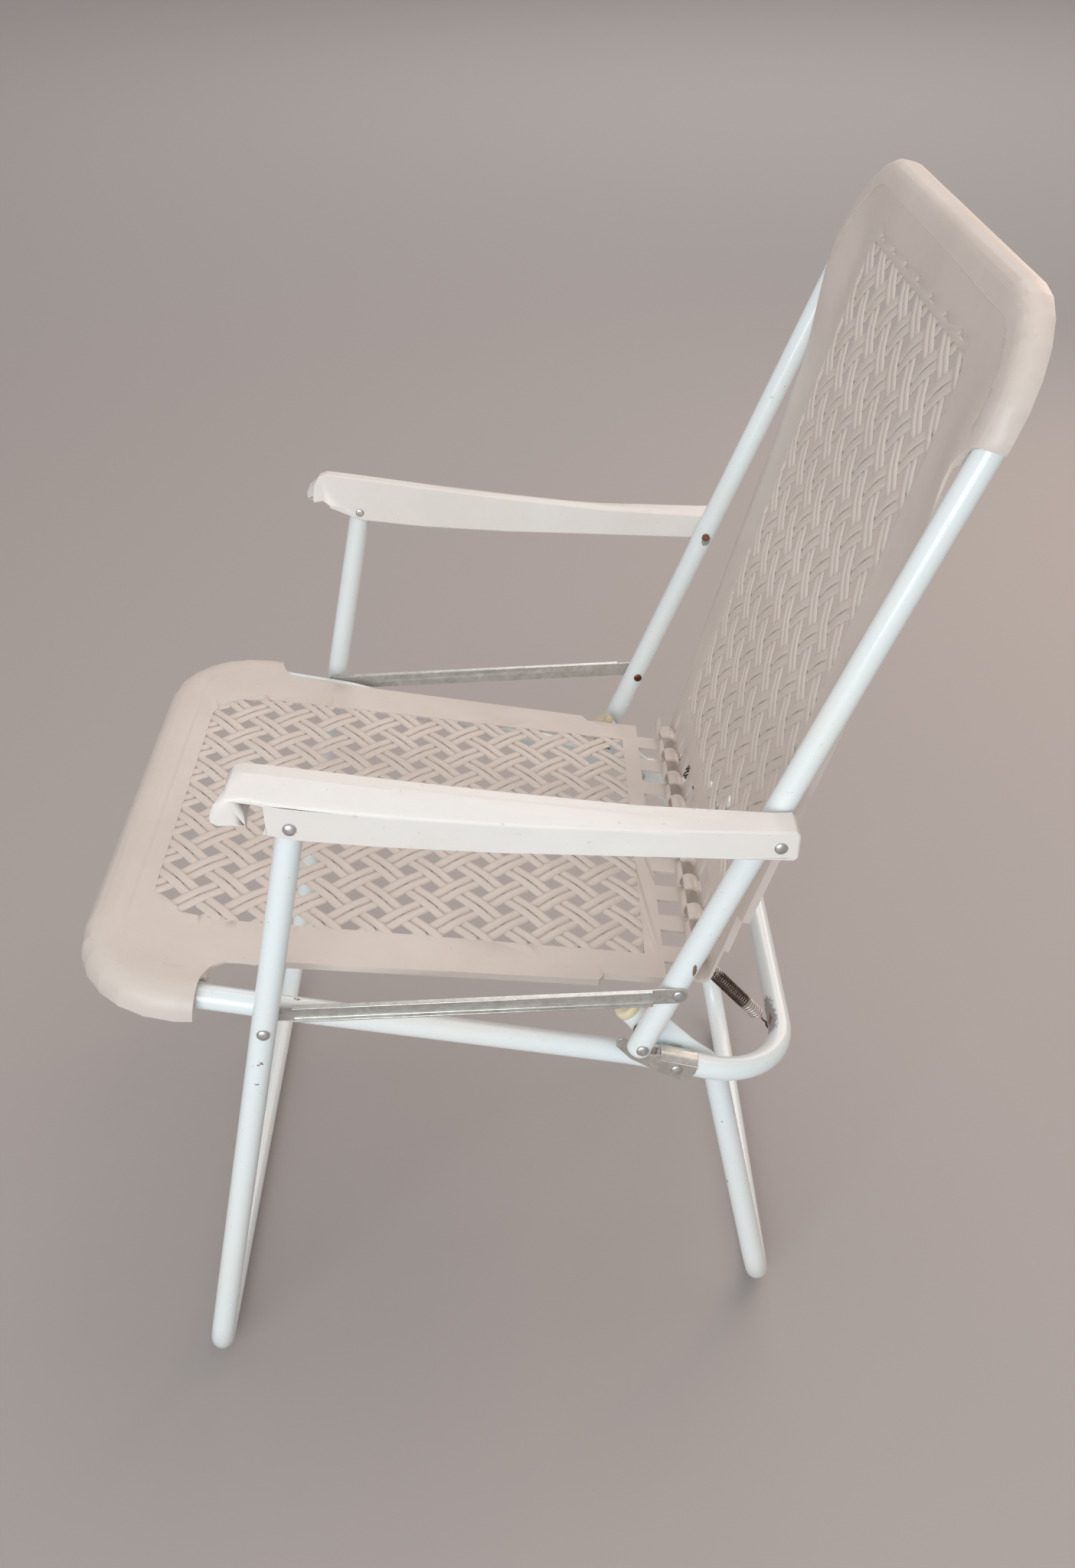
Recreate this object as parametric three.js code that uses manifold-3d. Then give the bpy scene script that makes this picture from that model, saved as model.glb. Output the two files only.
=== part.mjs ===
// Folding lawn armchair: steel tube frame with moulded lattice seat and back panels.
// Millimetres, Z up. The sitter faces -X, Y runs across, the floor is at Z = 0.
import * as THREE from 'three';
import { mergeGeometries, mergeVertices } from 'three/addons/utils/BufferGeometryUtils.js';
import Module from 'manifold-3d';

const wasm = await Module();
wasm.setup();

// Tube, sheet and fit sizes
const tubeRadius = 10;
const tubeSides = 12;
const bendStepsPerRightAngle = 6;
const runningGap = 0.3;
const sheetThickness = 1.1;
const weldTolerance = 1e-4;
const cutOverrun = 2;
const drillSides = 10;

// Pivot pins, seen from the side
const seatFrontAxis = { x: -464.1, z: 449.9 };
const frontLegPin = { x: -331, z: 423.7 };
const rearLegPin = { x: -8.4, z: 336 };
const backLowerPin = { x: -38.8, z: 378.6 };
const stayRearPin = { x: -12.5, z: 436.6 };
const armrestFrontPin = { x: -291.7, z: 615.6 };
const armrestRearPin = { x: 50.5, z: 594.4 };
const panelHinge = { x: 12.6, z: 405.4 };
const backTopAxis = { x: 195, z: 943 };

// Floor bars and the rear crossbar of the seat frame
const frontFootX = -418.1;
const rearFootX = 88.4;
const floorBarBend = 65;
const seatRearX = 89.7;
const seatRearHeight = 308.6;
const seatRearBend = 75;
const seatFrontBend = 65;
const seatSeamY = 40;
const splayStartX = -44;
const splayEndX = -312;
const gentleBend = 150;
const backTopBend = 70;

// Planes across the chair, worked outwards from the back tubes
const backOffset = 250;
const rivetHeadHeight = 1.9;
const washerThickness = 1.2;
const stayThickness = 1.7;
const armrestWall = 2;
const legSideGap = 1.1;
const armEndInset = 26;
const armEndOffset = backOffset - armEndInset;
const railRearOffset = backOffset - 2 * tubeRadius - 2 * runningGap - sheetThickness - rivetHeadHeight;
const rearLegInset = 20.9;
const rearLegOffset = railRearOffset - rearLegInset;
const backOuterFace = backOffset + tubeRadius;
const backInnerFace = backOffset - tubeRadius;
const stayInnerFace = backOuterFace + runningGap;
const stayOuterFace = stayInnerFace + stayThickness;
const armrestInnerFace = stayOuterFace + runningGap;
const frontLegOffset = armrestInnerFace + armrestWall + legSideGap + tubeRadius;
const frontLegOuterFace = frontLegOffset + tubeRadius;
const armrestOuterFace = frontLegOuterFace + legSideGap + armrestWall;

// Colours of the finishes
const tubeWhite = { color: 0xe6ecee, roughness: 0.3, metalness: 0 };
const panelIvory = { color: 0xe3dacd, roughness: 0.45, metalness: 0 };
const armrestWhite = { color: 0xf1f1ee, roughness: 0.35, metalness: 0 };
const zincGrey = { color: 0xb4b8b6, roughness: 0.4, metalness: 0.8 };
const rivetGrey = { color: 0x8e9394, roughness: 0.35, metalness: 0.9 };
const rustBrown = { color: 0x6b4736, roughness: 0.8, metalness: 0.2 };
const springBrown = { color: 0x33241f, roughness: 0.5, metalness: 0.6 };
const plugCream = { color: 0xe9dfc0, roughness: 0.5, metalness: 0 };

// Meshes to solids and back
function toSolid(geometry) {
  const bare = geometry.clone();
  bare.deleteAttribute('normal');
  bare.deleteAttribute('uv');
  const welded = mergeVertices(bare, weldTolerance);
  const vertProperties = new Float32Array(welded.attributes.position.array);
  const triVerts = new Uint32Array(welded.index.array);
  return new wasm.Manifold(new wasm.Mesh({ numProp: 3, vertProperties, triVerts }));
}

function toGeometry(solid) {
  const mesh = solid.getMesh();
  const geometry = new THREE.BufferGeometry();
  geometry.setAttribute('position', new THREE.Float32BufferAttribute(mesh.vertProperties, 3));
  geometry.setIndex(Array.from(mesh.triVerts));
  geometry.computeVertexNormals();
  return geometry;
}

function joined(geometries) {
  return geometries.map(toSolid).reduce((whole, piece) => whole.add(piece));
}

function without(solid, cutters) {
  return cutters.map(toSolid).reduce((rest, cutter) => rest.subtract(cutter), solid);
}

// The copy on the other side of the chair, with its faces still pointing out
function mirrored(geometry) {
  const copy = geometry.index ? geometry.toNonIndexed() : geometry.clone();
  copy.scale(1, -1, 1);
  const place = copy.attributes.position;
  for (let corner = 0; corner < place.count; corner += 3) {
    const second = new THREE.Vector3().fromBufferAttribute(place, corner + 1);
    const third = new THREE.Vector3().fromBufferAttribute(place, corner + 2);
    place.setXYZ(corner + 1, third.x, third.y, third.z);
    place.setXYZ(corner + 2, second.x, second.y, second.z);
  }
  copy.deleteAttribute('normal');
  copy.computeVertexNormals();
  return copy;
}

const at = (pin, y) => new THREE.Vector3(pin.x, y, pin.z);
const degrees = THREE.MathUtils.degToRad;

// A path of straight runs and round bends, with a station wherever a section is needed
class BentPath extends THREE.Curve {
  constructor(corners) {
    super();
    this.stations = [];
    corners.forEach((corner, index) => {
      const before = corners[index - 1] ?? corner;
      const after = corners[index + 1] ?? corner;
      const wayIn = corner.point.clone().sub(before.point).normalize();
      const wayOut = after.point.clone().sub(corner.point).normalize();
      if (index === 0) this.addStation(corner.point, wayOut);
      else if (index === corners.length - 1 || !corner.bend) this.addStation(corner.point, wayIn);
      else this.addBend(corner, wayIn, wayOut);
    });
  }

  addStation(point, tangent) {
    this.stations.push({ point: point.clone(), tangent: tangent.clone() });
  }

  addBend(corner, wayIn, wayOut) {
    const angle = wayIn.angleTo(wayOut);
    const axis = wayIn.clone().cross(wayOut).normalize();
    const start = corner.point.clone().addScaledVector(wayIn, -corner.bend * Math.tan(angle / 2));
    const centre = start.clone().addScaledVector(axis.clone().cross(wayIn), corner.bend);
    const steps = Math.max(1, Math.round(bendStepsPerRightAngle * angle / (Math.PI / 2)));
    for (let step = 0; step <= steps; step += 1) {
      const turn = angle * step / steps;
      const arm = start.clone().sub(centre).applyAxisAngle(axis, turn);
      this.addStation(centre.clone().add(arm), wayIn.clone().applyAxisAngle(axis, turn));
    }
  }

  stationAt(share) {
    return this.stations[Math.round(share * (this.stations.length - 1))];
  }

  getPointAt(share, target = new THREE.Vector3()) {
    return target.copy(this.stationAt(share).point);
  }

  getTangentAt(share, target = new THREE.Vector3()) {
    return target.copy(this.stationAt(share).tangent);
  }

  getSpacedPoints() {
    return this.stations.map((station) => station.point.clone());
  }
}

function ringPoints(radius, sides, turn = 0) {
  return Array.from({ length: sides }, (_, side) => {
    const angle = turn + 2 * Math.PI * side / sides;
    return new THREE.Vector2(radius * Math.cos(angle), radius * Math.sin(angle));
  });
}

// A section carried along a path
function swept(path, sectionPoints) {
  const options = { steps: path.stations.length - 1, extrudePath: path };
  return new THREE.ExtrudeGeometry(new THREE.Shape(sectionPoints), options);
}

// A round tube whose section may be pressed flat: press gives the two half-widths at a station
function pressedTube(path, press, turn = 0) {
  const last = path.stations.length - 1;
  const frames = path.computeFrenetFrames(last, false);
  const rings = path.stations.map((station, index) => {
    const { across, along } = press(station.point);
    return ringPoints(1, tubeSides, turn).map((unit) => station.point.clone()
      .addScaledVector(frames.normals[index], unit.x * across)
      .addScaledVector(frames.binormals[index], unit.y * along));
  });
  const corners = rings.flat();
  const faces = [];
  for (let ring = 0; ring < last; ring += 1) {
    for (let side = 0; side < tubeSides; side += 1) {
      const here = ring * tubeSides + side;
      const next = ring * tubeSides + (side + 1) % tubeSides;
      faces.push(here, next, next + tubeSides, here, next + tubeSides, here + tubeSides);
    }
  }
  for (let side = 1; side < tubeSides - 1; side += 1) {
    faces.push(0, side + 1, side);
    faces.push(last * tubeSides, last * tubeSides + side, last * tubeSides + side + 1);
  }
  const geometry = new THREE.BufferGeometry().setFromPoints(corners);
  geometry.setIndex(faces);
  return geometry;
}

// A drilling or bar across the chair, centred on a pin
function crossCylinder(pin, radius, nearFace, farFace) {
  const bar = new THREE.CylinderGeometry(radius, radius, farFace - nearFace, drillSides);
  return bar.translate(pin.x, (nearFace + farFace) / 2, pin.z);
}

const rivetShankRadius = 2.6;
const rivetHeadRadius = 4.5;
const rivetTailRadius = 4;
const rivetTailHeight = 1;
const rivetSides = 8;
const domeSteps = 3;
const pinHoleRadius = (rivetShankRadius + runningGap) / Math.cos(Math.PI / tubeSides);

function pinHoles(pin, innerFace, outerFace) {
  const right = crossCylinder(pin, pinHoleRadius, innerFace - cutOverrun, outerFace + cutOverrun);
  return [right, mirrored(right)];
}

// A rivet along Y: a domed head on its outer face, a straight shank and a rolled tail
function rivet(pin, outerFace, innerFace, hasTail = true) {
  const dome = Array.from({ length: domeSteps + 1 }, (_, step) => {
    const angle = Math.PI / 2 * (1 - step / domeSteps);
    const rise = (rivetHeadHeight - runningGap) * Math.sin(angle);
    return new THREE.Vector2(rivetHeadRadius * Math.cos(angle), outerFace + runningGap + rise);
  });
  const tail = hasTail
    ? [
      new THREE.Vector2(rivetShankRadius, innerFace - runningGap),
      new THREE.Vector2(rivetTailRadius, innerFace - runningGap),
      new THREE.Vector2(rivetTailRadius, innerFace - runningGap - rivetTailHeight),
      new THREE.Vector2(0, innerFace - runningGap - rivetTailHeight),
    ]
    : [new THREE.Vector2(rivetShankRadius, innerFace), new THREE.Vector2(0, innerFace)];
  const profile = [...dome, new THREE.Vector2(rivetShankRadius, outerFace + runningGap), ...tail];
  const geometry = new THREE.LatheGeometry(profile.reverse(), rivetSides);
  return geometry.translate(pin.x, 0, pin.z);
}

// A ring along Y round a pin
function ring(pin, innerRadius, outerRadius, innerFace, outerFace) {
  const profile = [
    new THREE.Vector2(innerRadius, innerFace),
    new THREE.Vector2(outerRadius, innerFace),
    new THREE.Vector2(outerRadius, outerFace),
    new THREE.Vector2(innerRadius, outerFace),
    new THREE.Vector2(innerRadius, innerFace),
  ];
  return new THREE.LatheGeometry(profile, tubeSides).translate(pin.x, 0, pin.z);
}

const pieces = new THREE.Group();

function addPiece(name, geometry, finish) {
  const mesh = new THREE.Mesh(geometry, new THREE.MeshStandardMaterial(finish));
  mesh.name = name;
  pieces.add(mesh);
}

function addPair(name, geometry, finish) {
  addPiece(`${name}_right`, geometry, finish);
  addPiece(`${name}_left`, mirrored(geometry), finish);
}

// Seat frame: one bent tube whose two ends meet at a seam in the rear crossbar
const railSlope = (rearLegPin.z - seatRearHeight) / (rearLegPin.x - seatRearX);
const railHeightAt = (x) => seatRearHeight + railSlope * (x - seatRearX);

function seatFramePath() {
  const rear = { x: seatRearX, z: seatRearHeight };
  const splay = { x: splayStartX, z: railHeightAt(splayStartX) };
  const foreRail = new THREE.Line3(at(splay, backOffset), at(frontLegPin, backOffset));
  const splayShare = (splayEndX - splay.x) / (frontLegPin.x - splay.x);
  const splayEnd = foreRail.at(splayShare, new THREE.Vector3());
  const side = (sign) => [
    { point: at(rear, sign * railRearOffset), bend: seatRearBend },
    { point: at(splay, sign * railRearOffset), bend: gentleBend },
    { point: at(splayEnd, sign * backOffset), bend: gentleBend },
    { point: at(frontLegPin, sign * backOffset), bend: gentleBend },
    { point: at(seatFrontAxis, sign * backOffset), bend: seatFrontBend },
  ];
  return new BentPath([
    { point: at(rear, seatSeamY + runningGap / 2) },
    ...side(1),
    ...side(-1).reverse(),
    { point: at(rear, seatSeamY - runningGap / 2) },
  ]);
}

// Pressed-flat pivot of the rear legs, just inside the rail
const pressedThickness = 9;
const pressedWidth = 27;
const pressedZone = 24;
const roundZone = 42;
const pressedOffset = railRearOffset - tubeRadius - 2 * runningGap - washerThickness - pressedThickness / 2;
const railInnerFace = railRearOffset - tubeRadius;

const railSection = ringPoints(tubeRadius, tubeSides, Math.PI / tubeSides);
const seatFrameSolid = without(toSolid(swept(seatFramePath(), railSection)), [
  ...pinHoles(rearLegPin, railInnerFace, railRearOffset + tubeRadius),
  ...pinHoles(frontLegPin, backInnerFace, backOuterFace),
]);
addPiece('seat_frame', toGeometry(seatFrameSolid), tubeWhite);

// Back frame: an inverted U with closed, rounded lower ends
const backEndLength = 12;
const backEndShares = [[0, 0.35], [0.12, 0.72], [0.4, 0.93], [0.85, 1]];

function backFrame() {
  const bottom = new THREE.Vector3(backLowerPin.x - backTopAxis.x, 0, backLowerPin.z - backTopAxis.z);
  const reach = bottom.length() + backEndLength;
  const down = bottom.normalize();
  const onSide = (distance, sign) => at(backTopAxis, sign * backOffset).addScaledVector(down, distance);
  const endAt = (share, sign) => ({ point: onSide(reach - share * tubeRadius, sign) });
  const ends = (sign) => backEndShares.map(([share]) => endAt(share, sign));
  const path = new BentPath([
    ...ends(1),
    { point: at(backTopAxis, backOffset), bend: backTopBend },
    { point: at(backTopAxis, -backOffset), bend: backTopBend },
    ...ends(-1).reverse(),
  ]);
  const last = path.stations.length - 1;
  let station = -1;
  return pressedTube(path, () => {
    station += 1;
    const fromEnd = Math.min(station, last - station);
    const share = backEndShares[fromEnd]?.[1] ?? 1;
    return { across: tubeRadius * share, along: tubeRadius * share };
  });
}

const backTubeHoles = [
  ...pinHoles(backLowerPin, backInnerFace, backOuterFace),
  ...pinHoles(stayRearPin, backInnerFace, backOuterFace),
];
const tailDepth = 6;
const tailHole = crossCylinder(
  armrestRearPin,
  pinHoleRadius,
  backInnerFace - cutOverrun,
  backInnerFace + tailDepth,
);
const backSolid = without(toSolid(backFrame()), [...backTubeHoles, tailHole, mirrored(tailHole)]);
addPiece('back_frame', toGeometry(backSolid), tubeWhite);

// Both legs stand on a facet of their bar, trimmed to one level
const floorTrim = 0.1;
const floorLevel = tubeRadius * (1 - Math.cos(Math.PI / tubeSides)) + floorTrim;
const floorReach = 3 * backOffset;
const floorCut = slab(
  ringPoints(floorReach, 4).map((corner) => [corner.x, corner.y]),
  floorLevel - tubeRadius,
  tubeRadius,
);

// Turn of a leg's section that lays one of its facets on the floor
const facetTurn = (foot, top) => Math.PI / tubeSides + Math.atan((top.x - foot.x) / (top.z - foot.z));

// Front legs: a U standing on its bar, its upper ends inside the armrests
const legTopLength = 10;
const frontFoot = { x: frontFootX, z: tubeRadius };

function frontLegs() {
  const foot = frontFoot;
  const rise = new THREE.Vector3(armrestFrontPin.x - foot.x, 0, armrestFrontPin.z - foot.z).normalize();
  const top = (sign) => at(armrestFrontPin, sign * frontLegOffset).addScaledVector(rise, legTopLength);
  return new BentPath([
    { point: top(1) },
    { point: at(foot, frontLegOffset), bend: floorBarBend },
    { point: at(foot, -frontLegOffset), bend: floorBarBend },
    { point: top(-1) },
  ]);
}

const frontLegSection = ringPoints(tubeRadius, tubeSides, facetTurn(frontFoot, armrestFrontPin));
const frontLegSolid = without(toSolid(swept(frontLegs(), frontLegSection)), [
  ...pinHoles(frontLegPin, frontLegOffset - tubeRadius, frontLegOuterFace),
  ...pinHoles(armrestFrontPin, frontLegOffset - tubeRadius, frontLegOuterFace),
  floorCut,
]);
addPiece('front_leg_frame', toGeometry(frontLegSolid), tubeWhite);

// Rear legs: a U whose upper ends are pressed flat at the rail and turn out over it
const kneePoint = { x: 27, z: 309 };
const kneeBend = 40;
const shoulderPoint = { x: 0, z: 333 };
const shoulderBend = 30;
const jogStart = 29;
const jogEnd = 46;
const jogBend = 15;
const armEndLength = 14;
const legStationSteps = [24, 12];
const armWay = at(backLowerPin, 0).sub(at(rearLegPin, 0)).normalize();

const rearFoot = { x: rearFootX, z: tubeRadius };

function rearLegs() {
  const foot = rearFoot;
  const legWay = new THREE.Vector3(kneePoint.x - foot.x, 0, kneePoint.z - foot.z).normalize();
  const side = (sign) => {
    const knee = at(kneePoint, sign * rearLegOffset);
    const jog = at(rearLegPin, sign * pressedOffset).addScaledVector(armWay, jogStart);
    const jogOut = at(rearLegPin, sign * armEndOffset).addScaledVector(armWay, jogEnd);
    const tip = at(backLowerPin, sign * armEndOffset).addScaledVector(armWay, armEndLength);
    return [
      { point: at(foot, sign * rearLegOffset), bend: floorBarBend },
      ...legStationSteps.map((step) => ({ point: knee.clone().addScaledVector(legWay, -kneeBend - step) })),
      { point: knee, bend: kneeBend },
      { point: at(shoulderPoint, sign * pressedOffset), bend: shoulderBend },
      { point: jog, bend: jogBend },
      { point: jogOut, bend: jogBend },
      { point: tip },
    ];
  };
  return new BentPath([...side(1).reverse(), ...side(-1)]);
}

function pressAtPivot(point) {
  const distance = Math.hypot(point.x - rearLegPin.x, point.z - rearLegPin.z);
  const press = 1 - THREE.MathUtils.smoothstep(distance, pressedZone, roundZone);
  return {
    across: THREE.MathUtils.lerp(tubeRadius, pressedThickness / 2, press),
    along: THREE.MathUtils.lerp(tubeRadius, pressedWidth / 2, press),
  };
}

const plugTubeWall = 2.5;
const plugStemRadius = tubeRadius - plugTubeWall;
const plugStemLength = 8;
const plugCapOverhang = 1;
const plugCapRadius = tubeRadius + plugCapOverhang;
const plugCapLength = 7;
const plugCapRound = degrees(30);
const plugShoulderShare = 0.85;
const armEnd = at(backLowerPin, armEndOffset).addScaledVector(armWay, armEndLength);

// A turned piece whose axis runs out along the arm of the rear leg
function onArmEnd(profile) {
  const geometry = new THREE.LatheGeometry(profile, tubeSides);
  geometry.applyQuaternion(new THREE.Quaternion().setFromUnitVectors(new THREE.Vector3(0, 1, 0), armWay));
  return geometry.translate(armEnd.x, armEnd.y, armEnd.z);
}

const plugSocket = onArmEnd([
  new THREE.Vector2(0, -plugStemLength - 2 * runningGap),
  new THREE.Vector2(plugStemRadius + runningGap, -plugStemLength - 2 * runningGap),
  new THREE.Vector2(plugStemRadius + runningGap, cutOverrun),
  new THREE.Vector2(0, cutOverrun),
]);
const plug = onArmEnd([
  new THREE.Vector2(0, -plugStemLength),
  new THREE.Vector2(plugStemRadius, -plugStemLength),
  new THREE.Vector2(plugStemRadius, runningGap),
  new THREE.Vector2(plugCapRadius, runningGap),
  new THREE.Vector2(plugCapRadius, plugCapLength / 2),
  new THREE.Vector2(plugCapRadius * Math.cos(plugCapRound), plugCapLength * plugShoulderShare),
  new THREE.Vector2(0, plugCapLength),
]);
const rearLegTube = pressedTube(rearLegs(), pressAtPivot, facetTurn(rearFoot, kneePoint));
const rearLegSolid = without(toSolid(rearLegTube), [
  ...pinHoles(rearLegPin, pressedOffset - tubeRadius, pressedOffset + tubeRadius),
  plugSocket,
  mirrored(plugSocket),
  floorCut,
]);
addPiece('rear_leg_frame', toGeometry(rearLegSolid), tubeWhite);
addPair('leg_plug', plug, plugCream);

// Seat and back panels: one moulding each, a lattice plate with a pocket round its tube at one
// end and a row of curled hinge fingers at the other. Local axes: X from the tube towards the
// hinge, Y across, Z out of the sitter's side, origin on the tube's axis.
const plateThickness = 2.4;
const pocketFit = 0.4;
const plateRise = tubeRadius + 3;
const hingeRise = 7;
const pocketInner = tubeRadius + pocketFit;
const pocketOuter = pocketInner + plateThickness + runningGap / 2;
const pocketSkirt = 6;
const pocketArcSteps = 4;
const latticePitch = 41;
const gapHalfDiagonal = 9.2;
const fingerReach = 28;
const fingerIntervals = 19;
const hingeInset = 50.5;
const hingeHalfWidth = backOffset - hingeInset;
const fingerGap = 0.6;
const curlTurn = degrees(130);
const curlSteps = 8;
const lipDepth = 5;
const slotSetBack = 6;
const slotDepth = 6.5;
const slotHalfWidth = 7.5;
const slotSteps = 4;

const seatSpec = {
  pivot: seatFrontAxis,
  side: 1,
  bend: seatFrontBend,
  pocketEnd: 79,
  cutInLength: 62,
  waistInset: 46,
  stepInset: 42,
  stepBack: 84,
  rearInset: 50,
  patternStart: 26,
  patternBack: 20,
  patternFrontInset: 101,
  patternRearInset: 82,
  tubeWay: null,
  firstFinger: 1,
  slots: 0,
};
const backSpec = {
  pivot: backTopAxis,
  side: -1,
  bend: backTopBend,
  pocketEnd: 76,
  cutInLength: 46,
  waistInset: 17,
  stepInset: 36,
  stepBack: 70,
  rearInset: 50,
  patternStart: 44,
  patternBack: 44,
  patternFrontInset: 100,
  patternRearInset: 82,
  tubeWay: backLowerPin,
  firstFinger: 0,
  slots: 7,
};

// Where the panel lies: its local axes, and how far along it the hinge axis is
function panelFrame(spec) {
  const toHinge = new THREE.Vector2(panelHinge.x - spec.pivot.x, panelHinge.z - spec.pivot.z);
  const rise = plateRise + hingeRise;
  const angle = toHinge.angle() - spec.side * Math.asin(rise / toHinge.length());
  const along = new THREE.Vector3(Math.cos(angle), 0, Math.sin(angle));
  const out = new THREE.Vector3(-Math.sin(angle), 0, Math.cos(angle)).multiplyScalar(spec.side);
  const across = out.clone().cross(along);
  const matrix = new THREE.Matrix4().makeBasis(along, across, out).setPosition(at(spec.pivot, 0));
  const way = spec.tubeWay
    ? new THREE.Vector3(spec.tubeWay.x - spec.pivot.x, 0, spec.tubeWay.z - spec.pivot.z).normalize()
    : along;
  const tubeTilt = Math.atan2(way.dot(out), way.dot(along));
  return { matrix, tubeTilt, length: Math.sqrt(toHinge.lengthSq() - rise ** 2) };
}

// Pocket: an inverted channel round the tube, square to the plate inboard and round outboard
function pocket(spec, frame) {
  const onPath = (distance, y) => new THREE.Vector3(distance, y, 0);
  const end = spec.pocketEnd + spec.cutInLength;
  const path = new BentPath([
    { point: onPath(end, backOffset) },
    { point: onPath(0, backOffset), bend: spec.bend },
    { point: onPath(0, -backOffset), bend: spec.bend },
    { point: onPath(end, -backOffset) },
  ]);
  const arc = (radius, step) => {
    const angle = Math.PI / 2 * step / pocketArcSteps;
    return [radius * Math.cos(angle), radius * Math.sin(angle)];
  };
  const arcTo = (last, radius) => Array.from({ length: last + 1 }, (_, step) => arc(radius, step));
  const outer = arcTo(pocketArcSteps, pocketOuter);
  const inner = arcTo(2 * pocketArcSteps, pocketInner).reverse();
  const section = [
    [pocketOuter, -pocketSkirt],
    ...outer,
    [-pocketOuter, pocketOuter],
    [-pocketOuter, 0],
    ...inner,
    [pocketInner, -pocketSkirt],
  ];
  const channel = swept(path, section.map(([outward, up]) => new THREE.Vector2(-up, -outward)));
  return channel.rotateY(-frame.tubeTilt);
}

// Half-width of the plate's edge behind the pocket, as points from the cut-in to the hinge
function sideEdge(spec, frame, inset) {
  const start = spec.pocketEnd + spec.cutInLength;
  const step = frame.length - spec.stepBack;
  return [
    [start, backOffset - spec.waistInset - inset],
    [step, backOffset - spec.stepInset - inset],
    [step + lipDepth, backOffset - spec.rearInset - inset],
    [frame.length - fingerReach, backOffset - spec.rearInset - inset],
  ];
}

function cutInCurve(spec) {
  const outerHalf = backOffset + pocketOuter + cutOverrun;
  return Array.from({ length: bendStepsPerRightAngle }, (_, step) => {
    const angle = Math.PI / 2 * step / bendStepsPerRightAngle;
    return [
      spec.pocketEnd + spec.cutInLength * (1 - Math.cos(angle)),
      outerHalf - (outerHalf - backOffset + spec.waistInset) * Math.sin(angle),
    ];
  });
}

function slab(points, bottom, thickness) {
  const shape = new THREE.Shape(points.map(([x, y]) => new THREE.Vector2(x, y)));
  const geometry = new THREE.ExtrudeGeometry(shape, { depth: thickness, bevelEnabled: false });
  return geometry.translate(0, 0, bottom);
}

function latticeGaps(spec, frame) {
  const gaps = [];
  const end = frame.length - fingerReach - spec.patternBack;
  const rows = Math.floor((end - spec.patternStart - 2 * gapHalfDiagonal) / (latticePitch / 2));
  for (let row = 0; row <= rows; row += 1) {
    const x = spec.patternStart + gapHalfDiagonal + row * latticePitch / 2;
    const inset = THREE.MathUtils.lerp(spec.patternFrontInset, spec.patternRearInset, row / rows);
    const half = backOffset - inset;
    const shift = row % 2 ? latticePitch / 2 : 0;
    const reach = Math.floor((half - gapHalfDiagonal + shift) / latticePitch);
    for (let column = -reach; column <= reach; column += 1) {
      const y = column * latticePitch + shift;
      if (Math.abs(y) + gapHalfDiagonal <= half) gaps.push(diamondAt(x, y));
    }
  }
  return mergeGeometries(gaps);
}

function gapAt(outline) {
  return slab(outline, plateRise - plateThickness - cutOverrun, plateThickness + 2 * cutOverrun);
}

function diamondAt(x, y) {
  return gapAt(ringPoints(gapHalfDiagonal, 4).map((corner) => [x + corner.x, y + corner.y]));
}

// Row of half-moon slots between the pocket and the lattice
function moonSlots(spec) {
  return Array.from({ length: spec.slots }, (_, index) => {
    const y = (index - (spec.slots - 1) / 2) * latticePitch;
    return gapAt(Array.from({ length: slotSteps + 1 }, (__, step) => {
      const angle = Math.PI * step / slotSteps;
      const x = spec.patternStart - slotSetBack - slotDepth * Math.sin(angle);
      return [x, y + slotHalfWidth * Math.cos(angle)];
    }));
  });
}

// A hinge finger: the plate runs on as a strap and curls up round the hinge axis
function finger(frame, start, width) {
  const low = plateRise - plateThickness;
  const curl = (radius) => Array.from({ length: curlSteps + 1 }, (_, step) => {
    const angle = -Math.PI / 2 + (Math.PI / 2 + curlTurn) * step / curlSteps;
    return [frame.length + radius * Math.cos(angle), plateRise + hingeRise + radius * Math.sin(angle)];
  });
  const root = frame.length - fingerReach - plateThickness;
  const outline = [
    [root, low],
    ...curl(hingeRise + plateThickness),
    ...curl(hingeRise).reverse(),
    [root, plateRise],
  ];
  const geometry = slab(outline, 0, width);
  return geometry.rotateX(Math.PI / 2).translate(0, start + width, 0);
}

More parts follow.
